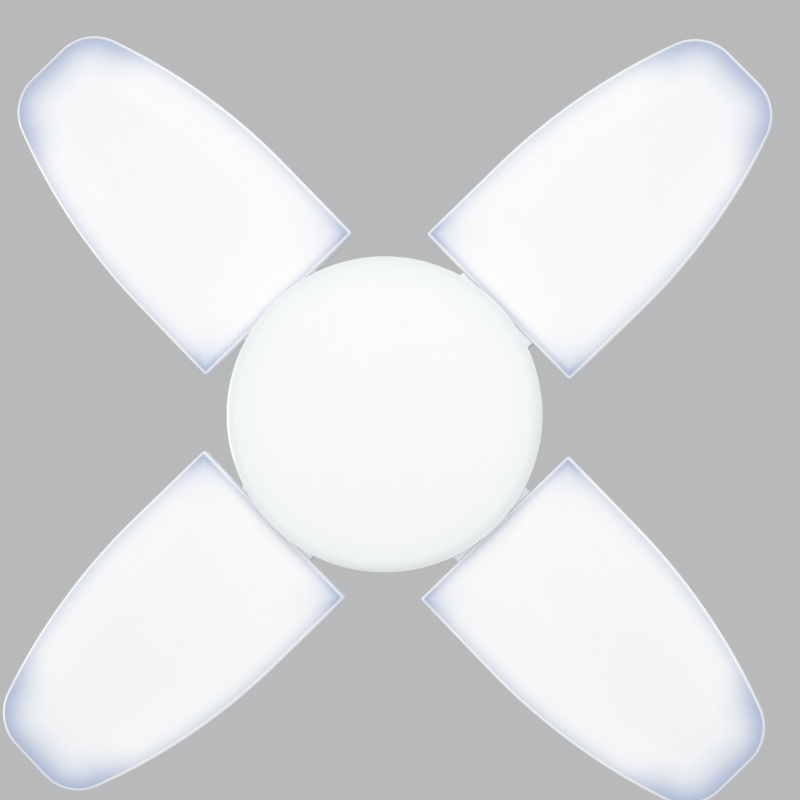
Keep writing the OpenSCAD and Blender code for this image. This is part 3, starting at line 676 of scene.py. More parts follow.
def blade_outline(inset):
    """Points (x, y) round a blade, inset inside its outer edge: inner end, side, tip, side."""
    root = max(ROOT_R - inset, LEAST_R)
    start, half = blade_start + inset, blade_half - inset
    side = arc((start + root, half - root), root, 180, 90, 4)
    side += between(side[-1], (arc_x, half), 12)
    side += arc((arc_x, -side_drop), SIDE_R - inset, 90, corner_a, 28)
    side += arc((corner_x, corner_y), max(TIP_R - inset, LEAST_R), corner_a, 0, 18)[1:]
    other = [(x, -y) for x, y in reversed(side)]
    return side + between(side[-1], other[0], 6) + other + between(other[-1], side[0], 20)


def blade_half_width(x):
    if x <= arc_x:
        return blade_half
    return math.sqrt(SIDE_R**2 - (x - arc_x) ** 2) - side_drop


def blade_solid(path, glow=None):
    """A solid through outlines of a blade, given as (inset, height)."""
    outlines = [blade_outline(inset) for inset, z in path]
    light = glow and [[glow(x, y, inset) for x, y in o] for o, (inset, z) in zip(outlines, path)]
    return solid([[(x, y, z) for x, y in o] for o, (inset, z) in zip(outlines, path)], glow=light)


def hinge_lug():
    """One half of the tab that joins a blade to its hinge, with a round knuckle at its end."""
    z_high, z_low = z_hinge + KNUCKLE_R - 0.02 * MM, z_hinge - KNUCKLE_R
    x_low, x_wall, x_top = blade_start - 0.2 * MM, blade_start + 1.5 * MM, blade_start + BACK_EDGE_R
    outline = [(hinge_x, z_high)] + arc((hinge_x, z_hinge), KNUCKLE_R, 90, 270, 28)[1:]
    outline += [(x_low - EDGE, z_low), (x_low, z_low + EDGE), (x_low, z_parting), (x_wall, z_parting),
                (x_wall, z_inside - 0.3 * MM), (x_top, z_inside + 0.3 * MM), (x_top, z_high)]
    return extruded(outline, WINDOW_HALF, TAB_HALF)


def blade_slots():
    """Cutters for the rows of air slots on both sides of a blade's spine."""
    cutters = []
    for i in range(SLOT_ROWS):
        x = blade_start + SLOT_START + SLOT_PITCH * i
        end = blade_half_width(x) - SLOT_MARGIN
        cutters += both_sides(slot_cutter((x, SLOT_SPINE), (x, end), SLOT_W, lambda x, y: z_blade_back,
                                          z_inside - PAST, z_blade_back + PAST))
    return merged(cutters)


def blade_shell():
    """The back shell of a blade: a tray with a rounded edge, air slots, screw bosses and its hinge tab."""
    fillet, flat, sides = 0.8 * MM, 8 * MM, 32
    z_edge = z_blade_back - BACK_EDGE_R
    path = [(flat, z_inside)] + arc((BACK_WALL + fillet, z_inside - fillet), fillet, 90, 180, 5)
    path += [(BACK_WALL, z_parting), (SEAM, z_parting)]
    path += [(0, mix(z_parting + SEAM, z_edge, i / 4)) for i in range(4)]
    path += arc((BACK_EDGE_R, z_edge), BACK_EDGE_R, 180, 90, 10) + [(flat, z_blade_back)]
    bosses = at_board_screws(rod(BOSS_R, z_board, z_inside + 0.5 * MM, sides))
    drills = at_board_screws(rod(drill_r, z_board - PAST, z_board + DRILL_DEPTH, COARSE))
    lead = moved(rod(LEAD_HOLE_R, -2 * MM, 3 * MM, sides), at(blade_start, 0, z_lead_hole) @ ALONG_X)
    return carved(blade_solid(path), joins=[merged(both_sides(hinge_lug())), merged(bosses)],
                  cuts=[blade_slots(), merged(drills), lead, hinge_bore()])


# ---- Lit covers ----

# What share of its light a blade's cover loses at each edge, and over what width. The same loss darkens the
# cover's base colour: painted shade
SIDE_LOSS, SIDE_FADE = 0.20, 2.6 * MM
TIP_LOSS, TIP_FADE = 0.47, 7.2 * MM
END_LOSS, END_FADE = 0.24, 1.6 * MM
NOOK_LOSS, NOOK_FADE = 0.40, 8 * MM
MOST_LOSS = 0.5
FADE_POWER = 1.35
TROUGH_AT = 1.3 * MM
TIP_REACH = 14 * MM
END_REACH = 3 * MM
# The rim's brightness: partly light let out at the edge, partly a painted highlight, since it brightens the
# base colour too
RIM_AT, RIM_WIDTH, RIM_GLOW_AND_PAINTED_HIGHLIGHT = 0.55 * MM, 0.45 * MM, 1.16
# The same for the disc's edge, and what it gains at its rim: a painted highlight, which brightens the rim's
# light and its base colour alike
DISC_LOSS, DISC_FADE = 0.06, 5 * MM
DISC_PAINTED_HIGHLIGHT, DISC_RIM = 0.06, 1.6 * MM


def faded(distance, width):
    return math.exp(-((max(distance, 0) / width) ** FADE_POWER))


def blade_glow(x, y, inset):
    """How bright a blade's cover is at a point: white inside, dim towards its edges, with a bright rim. This
    sets its base colour as well as its light, so the dim edges are painted shade and the rim is partly a
    painted highlight.
    """
    to_tip = smooth_step(corner_x - TIP_REACH, corner_x + 0.5 * TIP_R, x + 0.5 * inset)
    to_end = smooth_step(END_REACH, 0, x - blade_start - inset)
    share = mix(mix(SIDE_LOSS, TIP_LOSS, to_tip), END_LOSS, to_end)
    width = mix(mix(SIDE_FADE, TIP_FADE, to_tip), END_FADE, to_end)
    nook = math.dist((x, abs(y)), (blade_start, blade_half))
    loss = min(share * faded(inset - TROUGH_AT, width) + NOOK_LOSS * faded(nook, NOOK_FADE), MOST_LOSS)
    rim = math.exp(-(((inset - RIM_AT) / RIM_WIDTH) ** 2))
    return mix(1 - loss, RIM_GLOW_AND_PAINTED_HIGHLIGHT - 0.35 * loss, rim)


def blade_cover():
    """Frosted cover of a blade: a shallow tray with a rounded rim and a lip inside the back shell."""
    z_in, z_side = z_blade_face + COVER_WALL, z_blade_face + COVER_EDGE_R
    path = [(16 * MM, z_in), (5 * MM, z_in), (2.2 * MM, z_in), (1.75 * MM, z_in + 0.15 * MM),
            (COVER_WALL, z_in + 0.6 * MM), (COVER_WALL, z_parting - 1.6 * MM), (LIP_IN, z_parting - 0.6 * MM),
            (LIP_IN, cover_high.z), (LIP_OUT, cover_high.z), (LIP_OUT, z_parting), (SEAM, z_parting)]
    path += [(0, mix(z_parting - SEAM, z_side, i / 4)) for i in range(4)]
    path += arc((COVER_EDGE_R, z_side), COVER_EDGE_R, 180, 270, 9)
    path += [(inset * MM, z_blade_face) for inset in (2.2, 2.6, 3.1, 3.7, 4.4, 5.3, 6.4, 7.8, 9.5, 12, 16)]
    return blade_solid(path, blade_glow)


def disc_glow(inset):
    """How bright the hub's cover is at a distance inside its edge: a little dimmer near the edge, brighter at
    its rim. This sets its base colour as well as its light, so these are painted shade and a painted
    highlight.
    """
    return 1 - DISC_LOSS * faded(inset, DISC_FADE) + DISC_PAINTED_HIGHLIGHT * faded(inset, DISC_RIM)


def hub_cover():
    """Frosted cover of the hub: a shallow dome with a rounded rim."""
    flat_r = hub_r - HUB_EDGE_R
    z_edge = z_disc_face + HUB_BULGE + HUB_EDGE_R
    dome = [(flat_r * (1 - i / 24) ** 1.6, HUB_BULGE * (1 - i / 24) ** 3.2) for i in range(1, 24)]
    inner = [(r, z_disc_face + COVER_WALL + rise) for r, rise in reversed(dome)]
    inner += arc((flat_r, z_edge), HUB_EDGE_R - COVER_WALL, -90, 0, 8) + [(hub_r - COVER_WALL, z_flange)]
    outer = [(hub_r - SEAM, z_flange), (hub_r, z_flange - SEAM)]
    outer += [(hub_r, mix(z_flange, z_edge, i / 4)) for i in range(1, 4)]
    outer += arc((flat_r, z_edge), HUB_EDGE_R, 0, -90, 12) + [(r, z_disc_face + rise) for r, rise in dome]
    path = inner + outer
    return lathe(path, glow=[[disc_glow(hub_r - r)] * FINE for r, z in path])


# ---- LEDs ----


def led_ring(inset, z):
    """A ring round an LED's body at a height, inset inside its sides."""
    x, y, cut = LED_L / 2 - inset, LED_W / 2 - inset, 0.15 * MM
    return [(x, -y + cut, z), (x, y - cut, z), (x - cut, y, z), (-x + cut, y, z),
            (-x, y - cut, z), (-x, -y + cut, z), (-x + cut, -y, z), (x - cut, -y, z)]


def led():
    """An LED that hangs from z = 0: a white body round a sunken phosphor window."""
    edge, frame_w, sink = 0.08 * MM, 0.4 * MM, 0.12 * MM
    mesh = solid([led_ring(0, 0), led_ring(0, edge - LED_H), led_ring(edge, -LED_H),
                  led_ring(frame_w, -LED_H), led_ring(frame_w + sink, sink - LED_H)])
    for face in mesh.polygons:
        if face.normal.z < -0.9 and face.center.z > -LED_H + sink / 2:
            face.material_index = 1
    return mesh


def blade_leds():
    one = led()
    rows = [blade_start + LED_START + LED_PITCH * i for i in range(LED_ROWS)]
    return merged([moved(one, at(x, share * blade_half_width(x), z_leds))
                   for x in rows for share in LED_COLUMNS])


def hub_leds():
    one = led()
    return merged([moved(one, about_z(360 * (i + 1.5) / count) @ at(r, 0, z_hub_board))
                   for count, r in HUB_LEDS for i in range(count)])


# ---- Driver ----

AIR = 0.02 * MM
PIN_WIRE_R = 0.3 * MM
CAN_PIN_DROP = 1.2 * MM
FUSE_PIN_DROP = 1.3 * MM
PIN_SQUARES = (("driver_transformer", 5 * MM), ("driver_choke", 2.5 * MM))
CORE_BAR = 2.5 * MM
CORE_BACK = 2.7 * MM
CORE_BAND = 3 * MM
CHOKE_FLANGE = 1.2 * MM
CHOKE_TURNS = 12
LEG_W = 0.6 * MM
LEG_T = 0.25 * MM
LEG_REACH = 1.4 * MM
PACKAGE_RISE = 0.4 * MM
CHIP_L = 2 * MM
CHIP_W = 1.25 * MM
CHIP_H = 0.6 * MM
CHIP_END = 0.4 * MM
CHIP_COLUMN = 6 * MM
CHIP_PITCH = 2.6 * MM
board_face = driver_high.y


def component(node):
    """A component's middle, lowest corner and size."""
    low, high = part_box(node)
    return (low + high) / 2, low, high - low


def on_board(mesh, x, z, back=False):
    """A mesh made on the plane z = 0, moved to stand on the driver board's front or back."""
    turn = Matrix.Rotation(math.radians(90 if back else -90), 4, "X")
    return moved(mesh, at(x, -board_face if back else board_face, z) @ turn)


def pin_wire(x, y, z, drop):
    """A bare wire from the end of a component at z, along Z by drop, and then into the board."""
    return tinted(tube([(x, y, z), (x, y, z + 0.8 * drop), (x, (y + board_face) / 2, z + drop),
                        (x, board_face, z + drop)], PIN_WIRE_R, 10), 1)


def capacitor():
    """A can in a sleeve that is crimped near its foot, with a bare top that is scored to vent."""
    middle, low, size = component("driver_capacitor")
    r, tall, lip, dish = size.x / 2, size.z, 0.9 * MM, 0.3 * MM
    path = [(0.8 * r, 0), (r - 0.4 * MM, 0), (r - 0.1 * MM, 0.1 * MM), (r, 0.4 * MM)]
    path += arc((r, 0.12 * tall), 0.45 * MM, -90, -270, 10)
    path += arc((r - 0.6 * MM, tall - 0.6 * MM), 0.6 * MM, 0, 90, 8)
    path += [(r - lip, tall), (r - lip - 0.1 * MM, tall - dish), (0.3 * r, tall - dish)]
    score = block((-0.7 * r, -dish / 2, tall - 1.5 * dish), (0.7 * r, dish / 2, tall))
    can = carved(lathe(path, FINE // 2), cuts=[score, moved(score, about_z(90))])
    for face in can.polygons:
        if face.center.z > tall / 2 and face.center.xy.length < r - lip:
            face.material_index = 1
    pins = [pin_wire(middle.x + s * size.x / 8, middle.y, low.z - AIR, -CAN_PIN_DROP) for s in SIDES]
    return merged([moved(can, at(middle.x, middle.y, low.z))] + pins)


def transformer():
    """A ferrite core round a winding in tape."""
    middle, low, size = component("driver_transformer")
    high = low + size
    edge = 0.3 * MM
    z_low, z_high, y_back = low.z + CORE_BAR, high.z - CORE_BAR, low.y + CORE_BACK
    z_band = middle.z - CORE_BAND / 2
    core = [block(low, (high.x, high.y, z_low), edge), block((low.x, low.y, z_high), high, edge),
            block((low.x, low.y, z_low + AIR), (high.x, y_back, z_high - AIR), edge)]
    band = block((low.x, y_back + AIR, z_band), (high.x, high.y, z_band + CORE_BAND), 0.5 * MM)
    wide, deep = 0.42 * size.x, (high.y - y_back) / 2 - AIR
    oval = at(middle.x, y_back + AIR + deep, 0) @ Matrix.Diagonal((wide / deep, 0.9, 1, 1))
    spans = ((z_low + AIR, z_band - AIR), (z_band + CORE_BAND + AIR, z_high - AIR))
    winding = [moved(rod(deep, *span, edge=0.2 * MM), oval) for span in spans]
    return merged(core + [tinted(mesh, 1) for mesh in [band] + winding])


def choke():
    """A ferrite drum wound with copper wire."""
    middle, _, size = component("driver_choke")
    r, tall = size.x / 2, size.y
    start, end, core_r = CHOKE_FLANGE + AIR, tall - CHOKE_FLANGE - AIR, 0.3 * r
    pitch = (end - start) / CHOKE_TURNS
    turns = [(core_r, start)]
    for i in range(CHOKE_TURNS):
        turns += arc((0.8 * r, start + pitch * (i + 0.5)), pitch / 2, -80, 80, 6)
    turns.append((core_r, end))
    drum = [rod(r, *span, 64, 0.2 * MM) for span in ((0, CHOKE_FLANGE), (tall - CHOKE_FLANGE, tall))]
    return on_board(merged(drum + [tinted(lathe(turns, 64), 1)]), middle.x, middle.z)


def package(node, legs, back=False):
    """A moulded package with a mark for its first leg, on bent legs."""
    middle, _, size = component(node)
    w, h, top = size.x / 2 - LEG_REACH, size.z / 2, size.y
    mark = moved(rod(0.4 * MM, top - 0.1 * MM, top + 0.1 * MM, COARSE), at(0.9 * MM - w, h - 0.9 * MM, 0))
    body = carved(block((-w, -h, PACKAGE_RISE), (w, h, top), 0.3 * MM), cuts=[mark])
    knee, toe, z = w + 0.45 * MM, w + LEG_REACH, (PACKAGE_RISE + top) / 2
    bent = [(knee, 0), (toe, 0), (toe, LEG_T), (knee + LEG_T, LEG_T), (knee + LEG_T, z + LEG_T),
            (w + AIR, z + LEG_T), (w + AIR, z), (knee, z)]
    leg = tinted(extruded(bent, -LEG_W / 2, LEG_W / 2, 0.05 * MM), 1)
    row = [moved(leg, at(0, 2 * h * ((i + 0.5) / legs - 0.5), 0)) for i in range(legs)]
    both = row + [moved(one, about_z(180)) for one in row]
    return on_board(merged([body] + both), middle.x, middle.z, back)


def fuse():
    """A fuse with a fat end at each lead."""
    middle, low, size = component("driver_fuse")
    r, tall = size.x / 2, size.z
    half = [(0.4 * r, 0), (r - 0.3 * MM, 0), (r - 0.08 * MM, 0.1 * MM), (r, 0.4 * MM), (r, 1.3 * MM),
            (r - 0.1 * MM, 1.7 * MM), (r - 0.25 * MM, 2 * MM)]
    body = lathe(half + [(x, tall - z) for x, z in half[::-1]], 64)
    pins = [pin_wire(middle.x, middle.y, z, drop)
            for z, drop in ((low.z - AIR, -FUSE_PIN_DROP), (low.z + tall + AIR, FUSE_PIN_DROP))]
    return merged([moved(body, at(middle.x, middle.y, low.z))] + pins)


def driver_board():
    """The driver's circuit board, with solder where pins come through it and small chips on its back."""
    solder = lathe([(0.9 * MM, AIR), (0.55 * MM, 0.25 * MM), (0.35 * MM, 0.6 * MM), (0.1 * MM, 0.75 * MM)],
                   COARSE)
    can, can_low, can_size = component("driver_capacitor")
    joints = [(can.x + s * can_size.x / 8, can_low.z - CAN_PIN_DROP) for s in SIDES]
    for node, reach in PIN_SQUARES:
        middle = component(node)[0]
        joints += [(middle.x + s * reach, middle.z + t * reach) for s in SIDES for t in SIDES]
    thin, thin_low, thin_size = component("driver_fuse")
    joints += [(thin.x, thin_low.z - FUSE_PIN_DROP), (thin.x, thin_low.z + thin_size.z + FUSE_PIN_DROP)]
    parts = [block(driver_low, driver_high, 0.12 * MM)]
    parts += [tinted(on_board(solder, x, z, back=True), 1) for x, z in joints]
    inner, edge = CHIP_L / 2 - CHIP_END, 0.08 * MM
    chip = block((-inner, -CHIP_W / 2, AIR), (inner, CHIP_W / 2, CHIP_H), edge)
    cap = block((inner + AIR, -CHIP_W / 2, AIR), (CHIP_L / 2, CHIP_W / 2, CHIP_H), edge)
    middle = component("driver_controller")[0]
    for x in (middle.x - CHIP_COLUMN, middle.x + CHIP_COLUMN):
        for k in range(4):
            z = middle.z + CHIP_PITCH * (k - 1.5)
            parts.append(tinted(on_board(chip, x, z, back=True), 2))
            parts += [tinted(on_board(end, x, z, back=True), 1) for end in (cap, moved(cap, about_z(180)))]
    return merged(parts)


# ---- Wires ----

FEED_X = (10.5 * MM, 4 * MM, -10.5 * MM, -4 * MM)
JOIN_X = hinge_x - 1.6 * MM


def polar(n, u, v, z):
    """A point u out along blade n and v across it, at height z."""
    return about_z(90 * (n - 1)) @ Vector((u, v, z))


def two_tone(first, second):
    """One mesh from two sets of routes for wires, with the second set in the second material."""
    second = [tinted(tube(route, WIRE_R), 1) for route in second]
    return merged([tube(route, WIRE_R) for route in first] + second)


def mains_wires():
    """One wire from the end contact and one from the shell, down the collar to the driver board."""
    y = board_face + WIRE_R
    y_shell = ROOT_RADIUS - SHEET - WIRE_R
    z_solder = z_driver_top - 5 * MM
    z_bend = z_shell_top - PLUG_H - 2.5 * MM
    live = [(0, 0, -CONTACT_H), (0, 0, z_bend + 1 * MM), (1 * MM, 1 * MM, z_bend - 2 * MM),
            (4 * MM, 3 * MM, z_bend - 10 * MM), (5 * MM, y + 1 * MM, z_driver_top),
            (5 * MM, y, z_solder + 2 * MM), (5 * MM, y, z_solder)]
    neutral = [(0, y_shell, z_bend + 1.2 * MM), (0, y_shell, z_bend),
               (-1 * MM, y_shell - 3 * MM, z_bend - 1.5 * MM), (-3 * MM, 5 * MM, z_bend - 5 * MM),
               (-5 * MM, y + 2 * MM, z_driver_top), (-5 * MM, y, z_solder + 2 * MM), (-5 * MM, y, z_solder)]
    return two_tone([live], [neutral])


def output_wires():
    """A wire pair to each hinge, and one through the hub plate to the hub's LED board."""
    pairs = {-1: [], 1: []}
    for s in SIDES:
        for n in BLADES:
            x = FEED_X[n - 1] + (-s if n == 2 else s) * MM
            v = s * WIRE_Y
            out = [polar(n, u, v, z) for u, z in ((18 * MM, z_hinge - 1.5 * MM), (27 * MM, z_hinge - 1 * MM),
                                                  (35 * MM, z_hinge), (bell_r, z_hinge), (JOIN_X, z_hinge))]
            pairs[s].append([(x, 0, z_driver_low), (x, 0, z_driver_low - 2 * MM), *out])
        x, z_end = s * WIRE_Y, z_hub_board - WIRE_R
        pairs[s].append([(x, 0, z_driver_low), (x, 0, z_driver_low - 4 * MM), (2 * x, 0, z_plate + 2 * MM),
                         (2 * x, 0, z_hub_board + 0.5 * MM), (2.6 * x, 0, z_end), (4 * x, 0, z_end),
                         (6 * x, 0, z_end)])
    return two_tone(pairs[-1], pairs[1])


def hinge_wires():
    """A blade's wire pair, from the hub's side of its hinge to the back of its board."""
    z_solder = z_board + WIRE_R + HOLE_FIT
    x_board = blade_start + 3.6 * MM
    pair = [[(JOIN_X, v, z_hinge), (hinge_x, v, z_hinge), (hinge_x + 3.5 * MM, v, z_hinge),
             (blade_start - 1.5 * MM, v, z_lead_hole), (blade_start + BACK_WALL + 1 * MM, v, z_lead_hole),
             (x_board + 1.2 * MM, v, z_solder), (x_board + 4 * MM, v, z_solder)] for v in (-WIRE_Y, WIRE_Y)]
    return two_tone(pair[:1], pair[1:])


# ---- Materials ----

NOISE_ROUGHNESS = 0.55
PLASTIC_SHADE = 0.96
# Strength of the painted light that glows on the underside of each blade's tab
TAB_PAINTED_LIGHT = 0.3


def shaded(tone, shade):
    return [c * shade for c in tone]


class Nodes:
    """A node tree, with short ways to add nodes to it. Scales are in waves per metre."""

    def __init__(self, tree):
        self.tree = tree

    def fill(self, node, inputs):
        """Links or sets a node's inputs: sockets are linked, and colours are given as (r, g, b)."""
        for name, value in inputs.items():
            socket = node.inputs[name]
            if isinstance(value, bpy.types.NodeSocket):
                self.tree.links.new(value, socket)
            else:
                socket.default_value = (*value, 1.0) if socket.type == "RGBA" else value

    def add(self, kind, inputs=None, **settings):
        """The outputs of a new shader node."""
        made = self.tree.nodes.new("ShaderNode" + kind)
        for name, value in settings.items():
            setattr(made, name, value)
        self.fill(made, inputs or {})
        return made.outputs

    def maths(self, operation, a, b=0.0):
        return self.add("Math", {0: a, 1: b}, operation=operation)[0]

    def times(self, a, b):
        return self.maths("MULTIPLY", a, b)

    def remap(self, value, low, high, to_low=0.0, to_high=1.0):
        inputs = {"Value": value, "From Min": low, "From Max": high, "To Min": to_low, "To Max": to_high}
        return self.add("MapRange", inputs)["Result"]

    def blend(self, share, a, b, kind="MIX"):
        return self.add("Mix", {0: share, 6: a, 7: b}, data_type="RGBA", blend_type=kind)[2]

    def along(self, axis, output="Object"):
        """One coordinate of the place on the piece, or of its normal."""
        return self.add("SeparateXYZ", {0: self.add("TexCoord")[output]})[axis]

    def mapped(self, name, value):
        """The place on the piece, with one kind of change to it."""
        return self.add("Mapping", {"Vector": self.add("TexCoord")["Object"], name: value})["Vector"]

    def noise(self, scale, detail=3.0, place=None):
        """Noise from 0 to 1 over the piece."""
        place = place or self.add("TexCoord")["Object"]
        inputs = {"Vector": place, "Scale": scale, "Detail": detail, "Roughness": NOISE_ROUGHNESS}
        return self.add("TexNoise", inputs)["Fac"]

    def patches(self, scale, to_low, to_high, detail=3.0, low=0.3, high=0.7):
        """Values from one number to another, in patches."""
        return self.remap(self.noise(scale, detail), low, high, to_low, to_high)


class Paint(Nodes):
    """A material with one Principled shader."""

    def __init__(self, name, inputs=None):
        self.material = bpy.data.materials.new(name)
        self.material.use_nodes = True
        super().__init__(self.material.node_tree)
        self.shader = self.tree.nodes["Principled BSDF"]
        self.set(inputs or {})

    def set(self, inputs):
        self.fill(self.shader, inputs)

    def finish(self, tone, rough, height, depth):
        """Sets the base colour, the roughness and a relief, and gives back the paint."""
        relief = self.add("Bump", {"Height": height, "Distance": depth, "Strength": 1.0})["Normal"]
        self.set({"Base Color": tone, "Roughness": rough, "Normal": relief})
        return self


def lit_frosted(name, powers):
    """Frosted polycarbonate with the light behind it. Its "glow", to a power for each of red, green and blue,
    sets the light's colour. Its base colour is that light times 0.6, so its dim, bluish edges are painted
    shade and its bright rim a painted highlight.
    """
    paint = Paint(name, {"IOR": 1.58, "Emission Strength": 0.37})
    glow = paint.add("Attribute", attribute_name="glow")["Fac"]
    low = paint.maths("MINIMUM", glow, 1.0)
    channels = {i: paint.maths("POWER", low, power) for i, power in enumerate(powers)}
    gain = paint.times(paint.maths("MAXIMUM", glow, 1.0), paint.patches(200, 0.992, 1.0))
    light = paint.blend(1.0, paint.add("CombineColor", channels)["Color"], gain, "MULTIPLY")
    paint.set({"Emission Color": light})
    # Base colour from the light's pattern: painted shade at the edges, a painted highlight on the rim
    tone = paint.blend(1.0, light, (0.60, 0.60, 0.60), "MULTIPLY")
    return paint.finish(tone, paint.patches(700, 0.42, 0.56), paint.noise(2600, 2), 0.02 * MM)


def moulded(name, tone, rough=0.5, grain=2600, depth=0.03 * MM):
    """Moulded plastic with a fine eroded texture and slight changes of tone."""
    paint = Paint(name, {"IOR": 1.5})
    cloud = paint.blend(paint.patches(40, 0, 1, detail=4), shaded(tone, PLASTIC_SHADE), tone)
    worn = paint.patches(260, rough - 0.06, rough + 0.06)
    return paint.finish(cloud, worn, paint.noise(grain, 2), depth)


def painted_tab_light(paint):
    """Painted light: emission on the underside of the blade's tab, which is no lamp, standing for light from
    the lit edges of the disc and the blade that falls there.
    """
    x, y = [paint.maths("ABSOLUTE", paint.along(axis)) for axis in "XY"]
    out = paint.maths("MAXIMUM", x, y)
    near = paint.remap(out, hinge_x, blade_start - 2 * MM)
    inside = paint.remap(out, blade_start - 0.1 * MM, blade_start + 0.2 * MM, 1, 0)
    under = paint.remap(paint.along("Z", "Normal"), -0.3, -0.8, 0, TAB_PAINTED_LIGHT)
    light = paint.times(paint.times(near, inside), under)
    # Painted light: the tab's underside glows though it is no lamp
    paint.set({"Emission Strength": light, "Emission Color": (0.86, 0.89, 1.0)})
    return paint


def plated(name, tone, dull, rough=0.28, scratch=(9000, 9000, 400)):
    """Bright metal with clouded patches and fine scratches along one direction."""
    paint = Paint(name, {"Metallic": 1.0})
    cloud = paint.blend(paint.patches(300, 0, 1, detail=5, low=0.35), tone, dull)
    worn = paint.patches(900, rough - 0.08, rough + 0.14, detail=4, high=0.75)
    return paint.finish(cloud, worn, paint.noise(1, place=paint.mapped("Scale", scratch)), 0.01 * MM)


def cap_nickel():
    """Nickel plate on the rolled shell: polished crests, and darker patches in the thread's roots."""
    paint = plated("cap_nickel", (0.74, 0.72, 0.69), (0.62, 0.60, 0.56), scratch=(900, 900, 9000))
    plate_colour = paint.shader.inputs["Base Color"].links[0].from_socket
    x, y = paint.along("X"), paint.along("Y")
    r = paint.maths("SQRT", paint.maths("ADD", paint.times(x, x), paint.times(y, y)))
    root = paint.remap(r, ROOT_RADIUS - 0.1 * MM, ROOT_RADIUS + 0.45 * MM, 1, 0)
    # Darker colour, in patches, in the thread's roots
    root_darkening = paint.times(root, paint.patches(500, 0.2, 0.75, detail=4, low=0.25))
    paint.set({"Base Color": paint.blend(root_darkening, plate_colour, (0.36, 0.33, 0.29))})
    return paint


def board_metal():
    """Aluminium-core board: bare metal behind, and white solder resist on the LEDs' side and the edge."""
    paint = Paint("led_board")
    back = paint.remap(paint.along("Z", "Normal"), 0.4, 0.6)
    lines = paint.noise(1, place=paint.mapped("Scale", (300, 9000, 9000)))
    metal = paint.blend(lines, (0.66, 0.67, 0.69), (0.8, 0.81, 0.82))
    resist = paint.blend(paint.noise(300), (0.78, 0.79, 0.79), (0.84, 0.85, 0.85))
    paint.set({"Metallic": back})
    return paint.finish(paint.blend(back, resist, metal), paint.patches(500, 0.3, 0.42), lines, 0.01 * MM)


def circuit_board():
    """Green solder resist over copper tracks, with round pads."""
    paint = Paint("circuit_board")
    place = paint.mapped("Rotation", (math.pi / 2, 0, 0))
    bricks = {"Vector": place, "Scale": 110.0, "Mortar Size": 0.09, "Mortar Smooth": 0.05, "Brick Width": 0.9,
              "Row Height": 0.32}
    track = paint.remap(paint.add("TexBrick", bricks)["Fac"], 0.4, 0.6)
    spots = {"Vector": place, "Scale": 190.0, "Randomness": 0.35}
    pad = paint.add("TexVoronoi", spots, voronoi_dimensions="2D")["Distance"]
    pad = paint.remap(pad, 0.12, 0.16, 1, 0)
    green = paint.blend(track, (0.03, 0.15, 0.05), (0.012, 0.085, 0.03))
    paint.set({"Metallic": pad})
    return paint.finish(paint.blend(pad, green, (0.6, 0.61, 0.6)), paint.patches(600, 0.24, 0.36),
                        paint.maths("ADD", track, pad), 0.03 * MM)


def winding_tape():
    """Tape wound round Z, in two alternating tones."""
    paint = Paint("winding_tape", {"IOR": 1.5})
    share = paint.remap(paint.maths("SINE", paint.times(paint.along("Z"), 700 * math.tau)), -1, 1)
    first = (0.75, 0.5, 0.03)
    mottled = paint.blend(paint.noise(900), first, shaded(first, 0.8))
    return paint.finish(paint.blend(share, mottled, (0.62, 0.4, 0.02)), paint.patches(700, 0.32, 0.48),
                        share, 0.02 * MM)


def capacitor_sleeve():
    """Shrunk dark sleeve with a pale stripe down one side."""
    paint = Paint("capacitor_sleeve", {"IOR": 1.5})
    edge, soft = component("driver_capacitor")[1].x + 1.1 * MM, 0.1 * MM
    stripe = paint.remap(paint.along("X"), edge - soft, edge + soft, 1, 0)
    cloud = paint.blend(paint.noise(400), (0.01, 0.014, 0.04), (0.016, 0.02, 0.05))
    return paint.finish(paint.blend(stripe, cloud, (0.5, 0.52, 0.56)), paint.patches(500, 0.22, 0.36),
                        paint.noise(700), 0.02 * MM)


# ---- Stage ----

CAMERA_LENS = 148.5
CAMERA_SENSOR = 36
CAMERA_AT = Vector((30.58, 115.19, -1296.4)) * MM
CAMERA_AXES = Matrix(((0.71742, 0.69209, 0.07946), (0.69639, -0.71556, -0.05498),
                      (0.01881, 0.09478, -0.99532)))
AMBIENT = 0.56
FLOOR_Z = -2.6
FLOOR_HALF = 40
FLOOR_TONE = (0.86, 0.87, 0.88)
LIGHTS_AIM = Vector((0, 0, -0.07))


def set_camera():
    data = bpy.data.cameras.new("camera")
    data.lens, data.sensor_width = CAMERA_LENS, CAMERA_SENSOR
    camera = new_object("camera", data)
    camera.matrix_world = Matrix.Translation(CAMERA_AT) @ CAMERA_AXES.transposed().to_4x4()
    bpy.context.scene.camera = camera


def set_world():
    """A soft white sky that lights the lamp. The camera, mirrors and glass see it in the floor's tone."""
    world = bpy.data.worlds.new("studio")
    world.use_nodes = True
    sky = Nodes(world.node_tree)
    sky.tree.nodes.clear()
    rays = sky.add("LightPath")
    seen = sky.maths("MAXIMUM", rays["Is Camera Ray"], rays["Is Glossy Ray"])
    seen = sky.maths("MAXIMUM", seen, rays["Is Transmission Ray"])
    light, shown = [sky.add("Background", {"Color": tone, "Strength": AMBIENT})[0]
                    for tone in ((1, 1, 1), FLOOR_TONE)]
    sky.add("OutputWorld", {"Surface": sky.add("MixShader", {0: seen, 1: light, 2: shown})[0]})
    bpy.context.scene.world = world


def set_light(name, place, power, size):
    """A soft square light that points at the lamp."""
    data = bpy.data.lights.new(name, "AREA")
    data.energy, data.size = power, size
    light = new_object(name, data)
    light.location = place
    light.rotation_euler = (LIGHTS_AIM - Vector(place)).to_track_quat("-Z", "Y").to_euler()
    light.visible_camera = False


